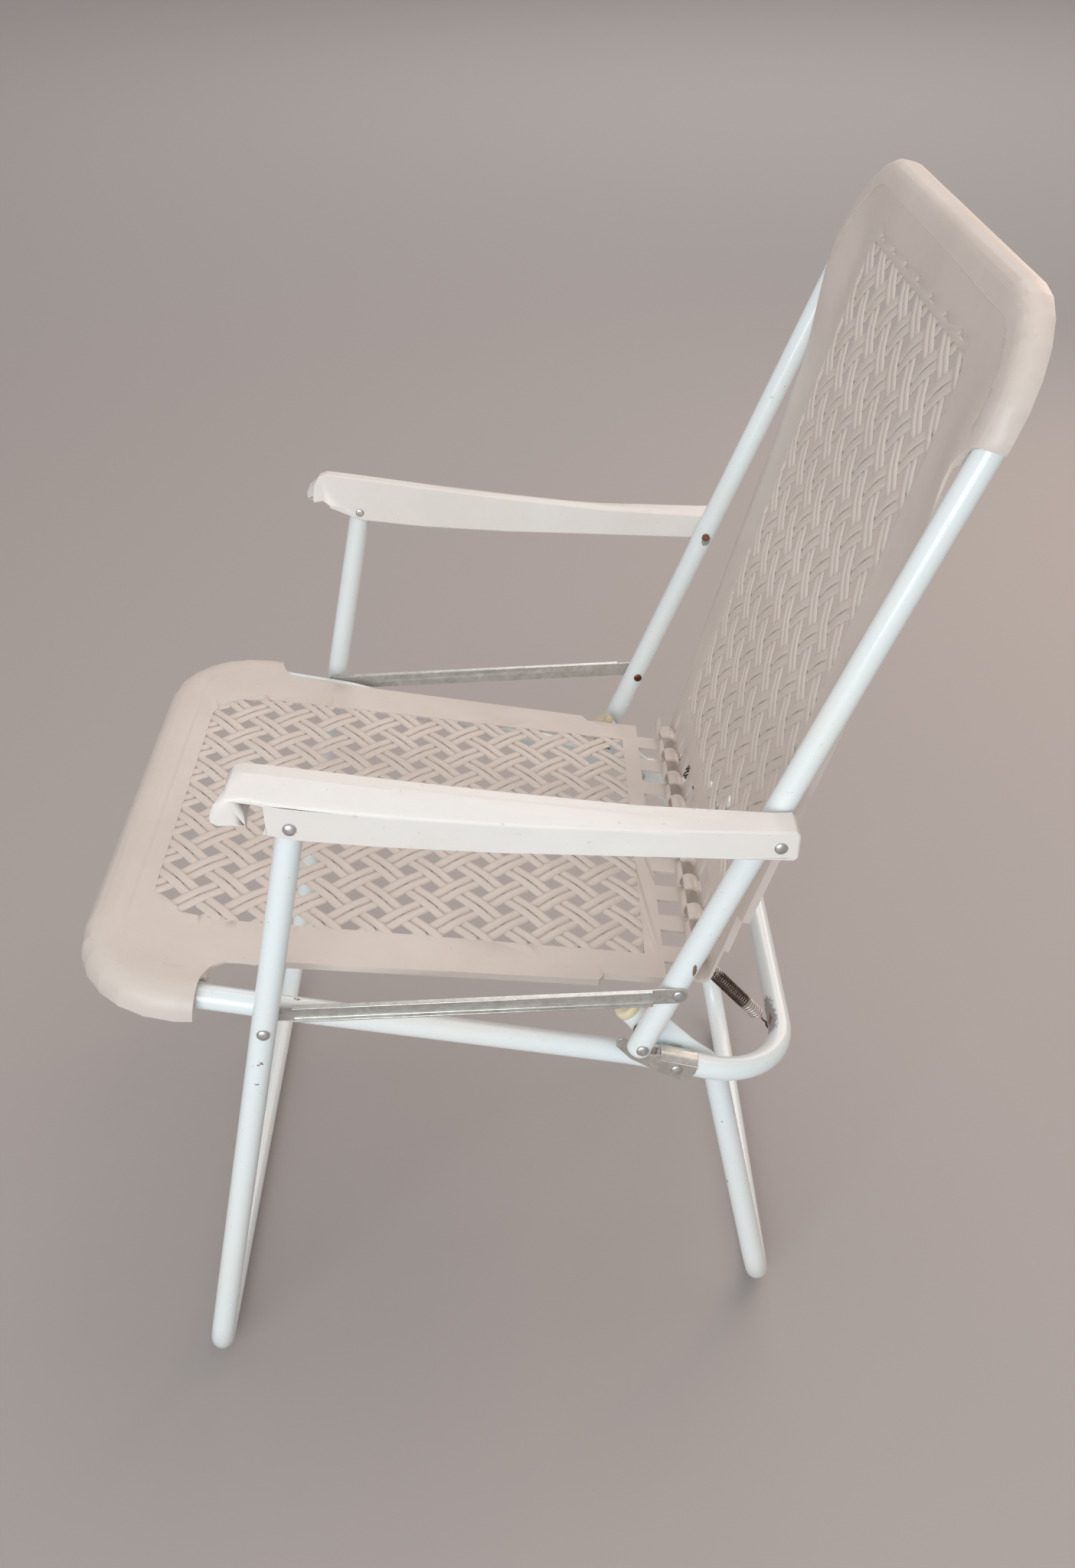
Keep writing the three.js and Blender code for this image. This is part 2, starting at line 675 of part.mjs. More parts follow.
function latticePanel(spec) {
  const frame = panelFrame(spec);
  const plateEnd = frame.length - fingerReach;
  const innerLine = pocketInner + plateThickness / 2;
  const corner = spec.bend - innerLine;
  const sideHalf = backOffset - innerLine;
  const front = Array.from({ length: bendStepsPerRightAngle + 1 }, (_, step) => {
    const angle = Math.PI / 2 * step / bendStepsPerRightAngle;
    return [spec.bend - corner * Math.cos(angle), sideHalf - corner + corner * Math.sin(angle)];
  });
  const half = [...front, [plateEnd, sideHalf]];
  const outline = [...half, ...half.map(([x, y]) => [x, -y]).reverse()];
  const plate = slab(outline, plateRise - plateThickness, plateThickness);
  const interval = 2 * hingeHalfWidth / fingerIntervals;
  const fingers = [];
  for (let index = spec.firstFinger; index < fingerIntervals; index += 2) {
    fingers.push(finger(frame, -hingeHalfWidth + index * interval + fingerGap / 2, interval - fingerGap));
  }
  const far = backOffset + 2 * pocketOuter;
  const cutEdge = [
    [spec.pocketEnd, far],
    ...cutInCurve(spec),
    ...sideEdge(spec, frame, 0),
    [plateEnd + cutOverrun, backOffset - spec.rearInset],
    [plateEnd + cutOverrun, far],
  ];
  const trim = slab(cutEdge, -far / 2, far);
  const lipOutline = [...sideEdge(spec, frame, 0), ...sideEdge(spec, frame, plateThickness).reverse()];
  const lip = slab(lipOutline, plateRise - plateThickness / 2 - lipDepth, lipDepth);
  const sheet = without(joined([pocket(spec, frame), plate]), [trim, mirrored(trim)]);
  const whole = [lip, mirrored(lip), ...fingers].reduce((sum, piece) => sum.add(toSolid(piece)), sheet);
  const geometry = toGeometry(without(whole, [latticeGaps(spec, frame), ...moonSlots(spec)]));
  geometry.applyMatrix4(frame.matrix);
  return geometry;
}

addPiece('seat_panel', latticePanel(seatSpec), panelIvory);
addPiece('back_panel', latticePanel(backSpec), panelIvory);

// Armrests: an open-bottomed channel with a solid rolled nose and a boss at its rear pin
const armrestRoof = 3;
const noseFrontX = -346;
const cheekEndX = -321.5;
const pocketWindowEndX = -308;
const noseCrestZ = 642;
const windowSillZ = 618;
const hollowDepth = 30;
const armrestRearX = 63.5;
const armrestTop = [
  [noseFrontX, 627], [-342, 636], [-334, 641.5], [-322, noseCrestZ], [-292, 637.5], [-220, 628],
  [-146, 622], [-50, 620], [armrestRearX - armrestRoof, 620], [armrestRearX, 616],
];
const armrestBottom = [
  [armrestRearX, 586], [armrestRearX - armrestRoof, 583], [-60, 589], [-146, 593], [-230, 599.5],
  [-292, 606.5], [cheekEndX, 614.5], [cheekEndX - 1, 619], [-341, 619], [noseFrontX, 622],
];
const armrestBevel = 1.2;
const lipHeight = 3.5;
const recessDepth = 0.8;
const bossRadius = 6;

// A side outline, given as X and Z, carried across the chair between two faces
function crossSlab(outline, innerFace, outerFace, bevel = 0) {
  const shape = new THREE.Shape(outline.map(([x, z]) => new THREE.Vector2(x, z)));
  const geometry = new THREE.ExtrudeGeometry(shape, {
    depth: outerFace - innerFace - 2 * bevel,
    bevelEnabled: bevel > 0,
    bevelThickness: bevel,
    bevelSize: bevel,
    bevelOffset: -bevel,
    bevelSegments: 1,
  });
  return geometry.rotateX(Math.PI / 2).translate(0, outerFace - bevel, 0);
}

function armrest() {
  const outline = [...armrestTop, ...armrestBottom];
  const body = crossSlab(outline, armrestInnerFace, armrestOuterFace, armrestBevel);
  const behindCheek = armrestTop.filter(([x]) => x > cheekEndX);
  const under = behindCheek.map(([x, z]) => [x - armrestRoof, z - armrestRoof]);
  const floor = armrestFrontPin.z - hollowDepth;
  const hollowRear = armrestRearX - armrestRoof;
  const hollow = crossSlab(
    [[cheekEndX, under[0][1]], ...under, [hollowRear, floor - cutOverrun], [cheekEndX, floor]],
    armrestInnerFace + armrestWall,
    armrestOuterFace - armrestWall,
  );
  const windowTop = noseCrestZ - lipHeight;
  const windowCorner = [pocketWindowEndX, windowTop - armrestWall];
  const window = crossSlab(
    [[cheekEndX, windowTop], windowCorner, [pocketWindowEndX, windowSillZ], [cheekEndX, floor]],
    armrestOuterFace - 2 * armrestWall,
    armrestOuterFace + cutOverrun,
  );
  const beforeEnd = behindCheek.filter(([x]) => x < armrestRearX - 2 * armrestRoof);
  const lip = beforeEnd.map(([x, z]) => [x, z - lipHeight]);
  const recess = crossSlab(
    [windowCorner, ...lip, [armrestRearX - 3 * armrestRoof, floor], [pocketWindowEndX, floor]],
    armrestOuterFace - recessDepth,
    armrestOuterFace + cutOverrun,
  );
  const boss = crossCylinder(
    armrestRearPin,
    bossRadius,
    armrestInnerFace + armrestWall / 2,
    armrestOuterFace - armrestWall / 2,
  );
  const shell = without(toSolid(body), [hollow, window, recess]).add(toSolid(boss));
  return without(shell, [armrestRearPin, armrestFrontPin].map((pin) => (
    crossCylinder(pin, pinHoleRadius, armrestInnerFace - cutOverrun, armrestOuterFace + cutOverrun)
  )));
}

addPair('armrest', toGeometry(armrest()), armrestWhite);

// Stays: flat eyes at both ends and a channel of two raised edges between them
const stayHalfWidth = 7;
const stayLipHeight = 3;
const stayLipWall = 1.6;
const stayLipStart = 20;
const eyeSteps = 6;

function stay() {
  const along = new THREE.Vector2(stayRearPin.x - frontLegPin.x, stayRearPin.z - frontLegPin.z);
  const length = along.length();
  const halfRing = (centre, from) => Array.from({ length: eyeSteps + 1 }, (_, step) => {
    const angle = from + Math.PI * step / eyeSteps;
    return [centre + stayHalfWidth * Math.cos(angle), stayHalfWidth * Math.sin(angle)];
  });
  const outline = [...halfRing(length, -Math.PI / 2), ...halfRing(0, Math.PI / 2)];
  const strap = crossSlab(outline, stayInnerFace, stayOuterFace);
  const lipBase = stayHalfWidth - stayLipWall;
  const lipEnd = length - stayLipStart;
  const upper = crossSlab(
    [[stayLipStart, lipBase], [lipEnd, lipBase], [lipEnd, stayHalfWidth], [stayLipStart, stayHalfWidth]],
    stayOuterFace - stayThickness / 2,
    stayOuterFace + stayLipHeight,
  );
  const lower = upper.clone().translate(0, 0, stayLipWall - 2 * stayHalfWidth);
  const solid = without(joined([strap, upper, lower]), [0, length].map((x) => (
    crossCylinder({ x, z: 0 }, pinHoleRadius, stayInnerFace - cutOverrun, stayOuterFace + cutOverrun)
  )));
  const geometry = toGeometry(solid);
  geometry.rotateY(-along.angle());
  return geometry.translate(frontLegPin.x, 0, frontLegPin.z);
}

addPair('stay', stay(), zincGrey);

// Brackets: sheet saddles over the rails, whose outer flange makes a cradle under the back tube
const saddleFront = -16;
const saddleRear = 16;
const saddleWrap = degrees(120);
const saddleSteps = 6;
const flangeOutline = [
  [-57, 19], [-55.5, 13], [-40, 2.5], [-15, -5], [4.5, -9.5], [11, -9], [16, 0], [saddleRear, 7],
  [saddleFront, 7], [saddleFront, 12], [-26, 10.5], [-33.5, 10.5], [-39, 13], [-43.5, 16.5],
  [-48, 21], [-53, 22.5],
];

function bracket() {
  const inner = tubeRadius + runningGap;
  const outer = inner + sheetThickness;
  const arc = (radius) => Array.from({ length: saddleSteps + 1 }, (_, step) => {
    const angle = saddleWrap * step / saddleSteps;
    return [radius * Math.cos(angle), radius * Math.sin(angle)];
  });
  const section = [...arc(outer), ...arc(inner).reverse()];
  const saddle = slab(section, saddleFront, saddleRear - saddleFront);
  const axes = new THREE.Matrix4().makeBasis(
    new THREE.Vector3(0, 1, 0),
    new THREE.Vector3(0, 0, 1),
    new THREE.Vector3(1, 0, 0),
  );
  saddle.applyMatrix4(axes);
  const flange = crossSlab(flangeOutline, inner, outer);
  const hole = crossCylinder({ x: 0, z: 0 }, pinHoleRadius, -outer - cutOverrun, outer + cutOverrun);
  const geometry = toGeometry(without(joined([saddle, flange]), [hole]));
  geometry.rotateY(-Math.atan(railSlope));
  return geometry.translate(rearLegPin.x, railRearOffset, railHeightAt(rearLegPin.x));
}

addPair('bracket', bracket(), zincGrey);

// Rivets, washers and spacers on the pins
const flangeOuterFace = railRearOffset + tubeRadius + runningGap + sheetThickness;
const pressedInnerFace = pressedOffset - pressedThickness / 2;
const washerInnerFace = pressedOffset + pressedThickness / 2 + runningGap;
const washerRadius = 8;
const spacerRadius = 6;
const washerHole = rivetShankRadius + runningGap;
const legSpacerOuterFace = frontLegOffset - tubeRadius - runningGap;
const armOuterFace = armEndOffset + tubeRadius;

addPair('rear_leg_rivet', rivet(rearLegPin, flangeOuterFace, pressedInnerFace), rivetGrey);
addPair(
  'rear_leg_washer',
  ring(rearLegPin, washerHole, washerRadius, washerInnerFace, washerInnerFace + washerThickness),
  zincGrey,
);
addPair('front_leg_rivet', rivet(frontLegPin, frontLegOuterFace, backInnerFace), rivetGrey);
addPair(
  'front_leg_washer',
  ring(frontLegPin, washerHole, washerRadius, stayOuterFace + runningGap, legSpacerOuterFace),
  zincGrey,
);
addPair('stay_rivet', rivet(stayRearPin, stayOuterFace, backInnerFace), rivetGrey);
addPair('back_lower_rivet', rivet(backLowerPin, backOuterFace, backInnerFace, false), rivetGrey);
addPair('armrest_front_rivet', rivet(armrestFrontPin, armrestOuterFace, armrestInnerFace), rivetGrey);
addPair(
  'armrest_rear_rivet',
  rivet(armrestRearPin, armrestOuterFace, backOuterFace + runningGap, false),
  rivetGrey,
);

// Rolled tail of the armrest rivet on the inside of the back tube
const tailProfile = [
  new THREE.Vector2(0, backInnerFace - runningGap - rivetTailHeight),
  new THREE.Vector2(rivetTailRadius, backInnerFace - runningGap - rivetTailHeight),
  new THREE.Vector2(rivetTailRadius, backInnerFace - runningGap),
  new THREE.Vector2(rivetShankRadius, backInnerFace - runningGap),
  new THREE.Vector2(rivetShankRadius, backInnerFace + tailDepth - runningGap),
  new THREE.Vector2(0, backInnerFace + tailDepth - runningGap),
];
const tail = new THREE.LatheGeometry(tailProfile, rivetSides);
addPair('armrest_rivet_tail', tail.translate(armrestRearPin.x, 0, armrestRearPin.z), rustBrown);
addPair(
  'back_lower_spacer',
  ring(backLowerPin, rivetShankRadius, spacerRadius, armOuterFace + runningGap, backInnerFace - runningGap),
  rustBrown,
);

// Springs between the rear crossbar and the rear edge of the seat panel: one wire each
const springHookInset = 75.8;
const springHookY = railRearOffset - springHookInset;
const springTopInset = 82;
const springTopY = backOffset - springTopInset;
const springTopDrop = { x: 6.9, z: -15.9 };
const springTop = { x: panelHinge.x + springTopDrop.x, z: panelHinge.z + springTopDrop.z };
const springRadius = 4.9;
const springWire = 1;
const springSides = 5;
const springCurls = 20;
const springStepsPerCurl = 8;
const springHookRise = 1.2;
const springHookLength = 16;
const springEndLength = 3;

function springCentre() {
  const bottom = new THREE.Vector3(seatRearX - tubeRadius - springHookRise, springHookY, seatRearHeight);
  const top = at(springTop, springTopY);
  const axis = top.clone().sub(bottom).normalize();
  const side = new THREE.Vector3(0, 1, 0).cross(axis).normalize();
  const other = axis.clone().cross(side);
  const coilStart = bottom.clone().addScaledVector(axis, springHookLength);
  const coilLength = bottom.distanceTo(top) - springHookLength - springEndLength;
  const points = [bottom];
  const steps = springCurls * springStepsPerCurl;
  for (let step = 0; step <= steps; step += 1) {
    const angle = 2 * Math.PI * step / springStepsPerCurl;
    points.push(coilStart.clone()
      .addScaledVector(axis, coilLength * step / steps)
      .addScaledVector(side, springRadius * Math.cos(angle))
      .addScaledVector(other, springRadius * Math.sin(angle)));
  }
  points.push(top);
  return points;
}

function wire(points, radius, sides) {
  const rings = points.map((point, index) => {
    const before = points[Math.max(index - 1, 0)];
    const after = points[Math.min(index + 1, points.length - 1)];
    const tangent = after.clone().sub(before).normalize();
    const first = new THREE.Vector3(0, 0, 1).cross(tangent).normalize();
    const second = tangent.clone().cross(first);
    return ringPoints(radius, sides).map((unit) => point.clone()
      .addScaledVector(first, unit.x)
      .addScaledVector(second, unit.y));
  });
  const faces = [];
  for (let ringIndex = 0; ringIndex < rings.length - 1; ringIndex += 1) {
    for (let side = 0; side < sides; side += 1) {
      const here = ringIndex * sides + side;
      const next = ringIndex * sides + (side + 1) % sides;
      faces.push(here, next, next + sides, here, next + sides, here + sides);
    }
  }
  const end = (rings.length - 1) * sides;
  for (let side = 1; side < sides - 1; side += 1) {
    faces.push(0, side + 1, side);
    faces.push(end, end + side, end + side + 1);
  }
  const geometry = new THREE.BufferGeometry().setFromPoints(rings.flat());
  geometry.setIndex(faces);
  geometry.computeVertexNormals();
  return geometry;
}

// Least gap between turns: points more than half a curl apart along the wire
function leastSelfGap(points, radius) {
  let least = Infinity;
  points.forEach((point, index) => {
    points.slice(index + springStepsPerCurl / 2 + 1).forEach((other) => {
      least = Math.min(least, point.distanceTo(other) - 2 * radius);
    });
  });
  return least;
}

const springPoints = springCentre();
addPair('spring', wire(springPoints, springWire, springSides), springBrown);
const curlGap = leastSelfGap(springPoints, springWire);
console.log(`least gap between the curls of a spring: ${curlGap.toFixed(2)} mm`);

// The origin is at the middle of the footprint, on the floor
const box = new THREE.Box3().setFromObject(pieces);
pieces.position.set(-(box.min.x + box.max.x) / 2, -(box.min.y + box.max.y) / 2, -box.min.z);

export default pieces;
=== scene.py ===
import math
import bmesh
import bpy
from mathutils import Matrix, Vector


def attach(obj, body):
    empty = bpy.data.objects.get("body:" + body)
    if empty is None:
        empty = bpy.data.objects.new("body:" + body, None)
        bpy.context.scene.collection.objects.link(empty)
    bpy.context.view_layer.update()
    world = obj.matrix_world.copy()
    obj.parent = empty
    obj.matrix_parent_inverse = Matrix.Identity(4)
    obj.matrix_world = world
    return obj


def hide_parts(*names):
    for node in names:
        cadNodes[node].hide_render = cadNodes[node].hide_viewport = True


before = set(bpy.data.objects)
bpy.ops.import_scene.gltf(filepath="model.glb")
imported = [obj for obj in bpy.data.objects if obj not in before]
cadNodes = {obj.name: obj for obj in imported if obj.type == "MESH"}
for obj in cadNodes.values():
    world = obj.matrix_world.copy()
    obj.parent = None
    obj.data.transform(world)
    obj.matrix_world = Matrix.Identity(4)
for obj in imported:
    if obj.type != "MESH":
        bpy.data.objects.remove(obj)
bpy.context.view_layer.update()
mm = 0.001
hair = 0.001 * mm  # points closer than this are one

# The chair is drawn from its own zero, the frame starts at the middle of the footprint
drawingShift = Vector((0.13612, 0, -0.000441))

# Pivots seen from the side, x and z in millimetres
pivots = {
    "seatFront": (-464.1, 449.9),
    "frontLeg": (-331, 423.7),
    "rearLeg": (-8.4, 336),
    "backLower": (-38.8, 378.6),
    "stayRear": (-12.5, 436.6),
    "armrestFront": (-291.7, 615.6),
    "armrestRear": (50.5, 594.4),
    "hinge": (12.6, 405.4),
    "backTop": (195, 943),
    "seatRear": (89.7, 308.6),
    "frontFoot": (-418.1, 10),
    "rearFoot": (88.4, 10),
}
hands = {"right": 1, "left": -1}


def spot(pivot, y=0):
    x, z = pivots[pivot] if isinstance(pivot, str) else pivot
    return Vector((x, y, z)) * mm + drawingShift


def heading(start, end):
    return (spot(end) - spot(start)).normalized()


# Reads a table of places and values at x
def along(table, x):
    for (x0, v0), (x1, v1) in zip(table, table[1:]):
        if x <= x1:
            return v0 + (v1 - v0) * min(max((x - x0) / (x1 - x0), 0), 1)
    return table[-1][1]


# Rises softly from 0 to 1 between low and high
def smooth(value, low, high):
    share = min(max((value - low) / (high - low), 0), 1)
    return share * share * (3 - 2 * share)


def meshObject(name, bm):
    mesh = bpy.data.meshes.new(name)
    bm.to_mesh(mesh)
    bm.free()
    return bpy.data.objects.new(name, mesh)


# The camera stands where the photo was taken from
cameraView = {
    "place": (0.01512, -1.157, 1.21856), "azimuth": 0.0017, "down": 0.579, "roll": 0.0122,
    "focalPixels": 1996.15, "heightPixels": 2048, "sensorHeight": 24,
}


def placeCamera(view):
    az, down, roll = view["azimuth"], view["down"], view["roll"]
    forward = Vector((math.sin(az) * math.cos(down), math.cos(az) * math.cos(down), -math.sin(down)))
    level = Vector((math.cos(az), -math.sin(az), 0))
    below = forward.cross(level)
    across = level * math.cos(roll) + below * math.sin(roll)
    drop = below * math.cos(roll) - level * math.sin(roll)
    data = bpy.data.cameras.new("photoCamera")
    data.sensor_fit = "VERTICAL"
    data.sensor_height = view["sensorHeight"]
    data.lens = view["sensorHeight"] * view["focalPixels"] / view["heightPixels"]
    camera = bpy.data.objects.new("photoCamera", data)
    turn = Matrix((across, -drop, -forward)).transposed()
    camera.matrix_world = Matrix.Translation(view["place"]) @ turn.to_4x4()
    bpy.context.scene.collection.objects.link(camera)
    bpy.context.scene.camera = camera


studio = {
    "floorColour": (0.40, 0.365, 0.355), "floorRough": 0.75, "floorSize": 60,
    "roomColour": (1.0, 0.965, 0.95), "worldStrength": 0.54,
}
lamps = {
    "windowLamp": {
        "place": (-0.9, -3.0, 1.25), "aim": (0, 0, 0.45), "size": 2.0,
        "watts": 62, "colour": (0.89, 0.97, 1.0),
    },
    "ceilingLamp": {
        "place": (0.9, 0.3, 2.9), "aim": (0.2, 0, 0.45), "size": 2.2,
        "watts": 20, "colour": (1.0, 0.84, 0.74),
    },
    "backLamp": {
        "place": (1.9, 1.9, 1.5), "aim": (0.2, 0, 0.6), "size": 1.2,
        "watts": 14, "colour": (1.0, 0.78, 0.62),
    },
    "farLamp": {
        "place": (1.2, 6.5, 5.0), "aim": (1.2, 6.6, 0), "size": 4.0,
        "watts": 130, "colour": (1.0, 0.98, 0.97),
    },
}


def lightStudio():
    scene = bpy.context.scene
    scene.view_settings.view_transform = "Standard"
    world = bpy.data.worlds.new("studioRoom")
    scene.world = world
    world.use_nodes = True
    tree = world.node_tree
    tree.nodes.clear()
    output = tree.nodes.new("ShaderNodeOutputWorld")
    room = tree.nodes.new("ShaderNodeBackground")
    room.inputs["Color"].default_value = (*studio["roomColour"], 1)
    room.inputs["Strength"].default_value = studio["worldStrength"]
    tree.links.new(room.outputs[0], output.inputs["Surface"])
    for name, lamp in lamps.items():
        data = bpy.data.lights.new(name, "AREA")
        data.size, data.energy, data.color = lamp["size"], lamp["watts"], lamp["colour"]
        thing = bpy.data.objects.new(name, data)
        thing.location = lamp["place"]
        way = Vector(lamp["aim"]) - Vector(lamp["place"])
        thing.rotation_euler = way.to_track_quat("-Z", "Y").to_euler()
        scene.collection.objects.link(thing)
    bm = bmesh.new()
    bmesh.ops.create_grid(bm, x_segments=4, y_segments=4, size=studio["floorSize"] / 2)
    floor = meshObject("studioFloor", bm)
    scene.collection.objects.link(floor)
    paint = bpy.data.materials.new("studioFloorPaint")
    paint.use_nodes = True
    shader = paint.node_tree.nodes["Principled BSDF"]
    shader.inputs["Base Color"].default_value = (*studio["floorColour"], 1)
    shader.inputs["Roughness"].default_value = studio["floorRough"]
    floor.data.materials.append(paint)


placeCamera(cameraView)
lightStudio()
print("camera, floor and lamps are set")


# Shader groups that several finishes share: each reads a place and the values given with it
def newGroup(name, values, outs):
    tree = bpy.data.node_groups.new(name, "ShaderNodeTree")
    tree.interface.new_socket(name="Place", in_out="INPUT", socket_type="NodeSocketVector")
    for label, value in values.items():
        kind = "NodeSocketVector" if isinstance(value, tuple) else "NodeSocketFloat"
        socket = tree.interface.new_socket(name=label, in_out="INPUT", socket_type=kind)
        socket.default_value = value
    for label in outs:
        tree.interface.new_socket(name=label, in_out="OUTPUT", socket_type="NodeSocketFloat")
    return tree, tree.nodes.new("NodeGroupInput").outputs, tree.nodes.new("NodeGroupOutput").inputs


def put(tree, kind, settings=None, **sockets):
    node = tree.nodes.new(kind)
    for key, value in (settings or {}).items():
        setattr(node, key, value)
    for key, value in sockets.items():
        socket = node.inputs[int(key[1:])] if key[0] == "i" and key[1:].isdigit() else node.inputs[key]
        if isinstance(value, bpy.types.NodeSocket):
            tree.links.new(value, socket)
        else:
            socket.default_value = value
    return node


def noise(tree, where, scale, detail=3.0, rough=0.55):
    node = put(tree, "ShaderNodeTexNoise", Vector=where, Scale=scale, Detail=detail, Roughness=rough)
    return node.outputs["Fac"]


def ramp(tree, value, low, high, toLow=0.0, toHigh=1.0):
    return put(tree, "ShaderNodeMapRange", i0=value, i1=low, i2=high, i3=toLow, i4=toHigh).outputs[0]


def maths(tree, operation, a, b=0.5, c=0.5):
    return put(tree, "ShaderNodeMath", {"operation": operation}, i0=a, i1=b, i2=c).outputs[0]


def vectorMaths(tree, operation, **sockets):
    return put(tree, "ShaderNodeVectorMath", {"operation": operation}, **sockets)


def blendColour(tree, factor, a, b):
    node = put(tree, "ShaderNodeMix", {"data_type": "RGBA"}, i0=factor)
    for index, colour in ((6, a), (7, b)):
        if isinstance(colour, bpy.types.NodeSocket):
            tree.links.new(colour, node.inputs[index])
        else:
            node.inputs[index].default_value = (*colour, 1)
    return node.outputs[2]


def chipGroup():
    tree, start, end = newGroup("paintChips", {"Size": 60.0, "Level": 0.7}, ["Chip"])
    coarse = noise(tree, start["Place"], start["Size"], 4.0, 0.5)
    wide = noise(tree, start["Place"], 9.0, 2.0)
    mixed = maths(tree, "MULTIPLY_ADD", wide, 0.22, coarse)
    level = maths(tree, "ADD", start["Level"], 0.11)
    over = maths(tree, "SUBTRACT", mixed, level)
    tree.links.new(ramp(tree, over, 0.0, 0.012), end["Chip"])
    return tree


def markGroup():
    values = {"Centre": (0, 0, 0), "Spread": (0.01, 0.01, 0.01), "Ragged": 0.8}
    tree, start, end = newGroup("markAt", values, ["Mark"])
    away = vectorMaths(tree, "SUBTRACT", i0=start["Place"], i1=start["Centre"]).outputs[0]
    scaled = vectorMaths(tree, "DIVIDE", i0=away, i1=start["Spread"]).outputs[0]
    distance = vectorMaths(tree, "LENGTH", i0=scaled).outputs["Value"]
    rough = maths(tree, "SUBTRACT", noise(tree, start["Place"], 320.0, 4.0, 0.7), 0.5)
    ragged = maths(tree, "MULTIPLY", rough, start["Ragged"])
    tree.links.new(ramp(tree, maths(tree, "ADD", distance, ragged), 1.0, 0.72), end["Mark"])
    return tree


def filmGroup():
    tree, start, end = newGroup("dirtFilm", {"Patch": 6.0, "Speck": 900.0}, ["Film", "Specks", "Grain"])
    broad = noise(tree, start["Place"], start["Patch"], 5.0, 0.62)
    spots = noise(tree, start["Place"], 210.0, 3.0)
    tree.links.new(ramp(tree, broad, 0.32, 0.72), end["Film"])
    tree.links.new(ramp(tree, spots, 0.68, 0.76), end["Specks"])
    tree.links.new(noise(tree, start["Place"], start["Speck"], 2.0, 0.5), end["Grain"])
    return tree


groups = {"chips": chipGroup(), "mark": markGroup(), "film": filmGroup()}


def useGroup(tree, key, place, **values):
    node = tree.nodes.new("ShaderNodeGroup")
    node.node_tree = groups[key]
    tree.links.new(place, node.inputs["Place"])
    for label, value in values.items():
        node.inputs[label].default_value = value
    return node


def newFinish(name, **constants):
    material = bpy.data.materials.new(name)
    material.use_nodes = True
    tree = material.node_tree
    shader = tree.nodes["Principled BSDF"]
    for label, value in constants.items():
        shader.inputs[label.replace("_", " ")].default_value = value
    place = tree.nodes.new("ShaderNodeTexCoord").outputs["Object"]
    return material, tree, shader, place


def bumpTo(tree, shader, height, strength, distance):
    bump = put(tree, "ShaderNodeBump", Height=height, Strength=strength, Distance=distance)
    tree.links.new(bump.outputs[0], shader.inputs["Normal"])


def speckle(tree, film, amount, colour, dirt):
    return blendColour(tree, maths(tree, "MULTIPLY", film.outputs["Specks"], amount), colour, dirt)


# Enamelled tube: cool white, yellowed in places, rust in the chips
paintLook = {
    "cool": (0.77, 0.845, 0.875),
    "aged": (0.80, 0.82, 0.80),
    "primer": (0.30, 0.22, 0.17),
    "rust": (0.13, 0.045, 0.02),
    "soot": (0.16, 0.14, 0.12),
}


def framePaint(name, rustMarks=(), sootMarks=(), chipLevel=0.735):
    material, tree, shader, place = newFinish(name, Coat_Weight=0.35, Coat_Roughness=0.12)
    film = useGroup(tree, "film", place, Patch=5.0, Speck=1400.0)
    chips = useGroup(tree, "chips", place, Size=85.0, Level=chipLevel)
    colour = blendColour(tree, film.outputs["Film"], paintLook["cool"], paintLook["aged"])
    colour = speckle(tree, film, 0.35, colour, paintLook["primer"])
    for centre, spread, ragged in sootMarks:
        soot = useGroup(tree, "mark", place, Centre=centre, Spread=spread, Ragged=ragged)
        colour = blendColour(tree, maths(tree, "MULTIPLY", soot.outputs[0], 0.75), colour, paintLook["soot"])
    bare = chips.outputs["Chip"]
    for centre, spread, ragged in rustMarks:
        rust = useGroup(tree, "mark", place, Centre=centre, Spread=spread, Ragged=ragged)
        bare = maths(tree, "MAXIMUM", bare, rust.outputs[0])
    rustTone = blendColour(tree, noise(tree, place, 700.0, 3.0), paintLook["rust"], paintLook["primer"])
    colour = blendColour(tree, bare, colour, rustTone)
    tree.links.new(colour, shader.inputs["Base Color"])
    gloss = ramp(tree, film.outputs["Film"], 0.0, 1.0, 0.2, 0.34)
    rough = maths(tree, "MAXIMUM", gloss, maths(tree, "MULTIPLY", bare, 0.85))
    tree.links.new(rough, shader.inputs["Roughness"])
    grain = maths(tree, "MULTIPLY", film.outputs["Grain"], 0.05)
    bumpTo(tree, shader, maths(tree, "SUBTRACT", grain, bare), 0.35, 0.0004)
    return material


# Moulded panels: warm ivory, matt, with a faint mottle
panelLook = {
    "clean": (0.67, 0.60, 0.55), "worn": (0.60, 0.535, 0.49), "grime": (0.42, 0.36, 0.31), "scuff": 0.28,
}


def panelPlastic(name, scuffs):
    material, tree, shader, place = newFinish(name, Subsurface_Weight=0.06, Subsurface_Scale=0.004)
    film = useGroup(tree, "film", place, Patch=7.0, Speck=2100.0)
    colour = blendColour(tree, film.outputs["Film"], panelLook["clean"], panelLook["worn"])
    colour = speckle(tree, film, 0.4, colour, panelLook["grime"])
    for centre, spread, ragged in scuffs:
        scuff = useGroup(tree, "mark", place, Centre=centre, Spread=spread, Ragged=ragged)
        amount = maths(tree, "MULTIPLY", scuff.outputs[0], panelLook["scuff"])
        colour = blendColour(tree, amount, colour, panelLook["grime"])
    tree.links.new(colour, shader.inputs["Base Color"])
    tree.links.new(ramp(tree, film.outputs["Film"], 0.0, 1.0, 0.36, 0.52), shader.inputs["Roughness"])
    bumpTo(tree, shader, maths(tree, "MULTIPLY", film.outputs["Grain"], 0.12), 0.3, 0.0005)
    return material


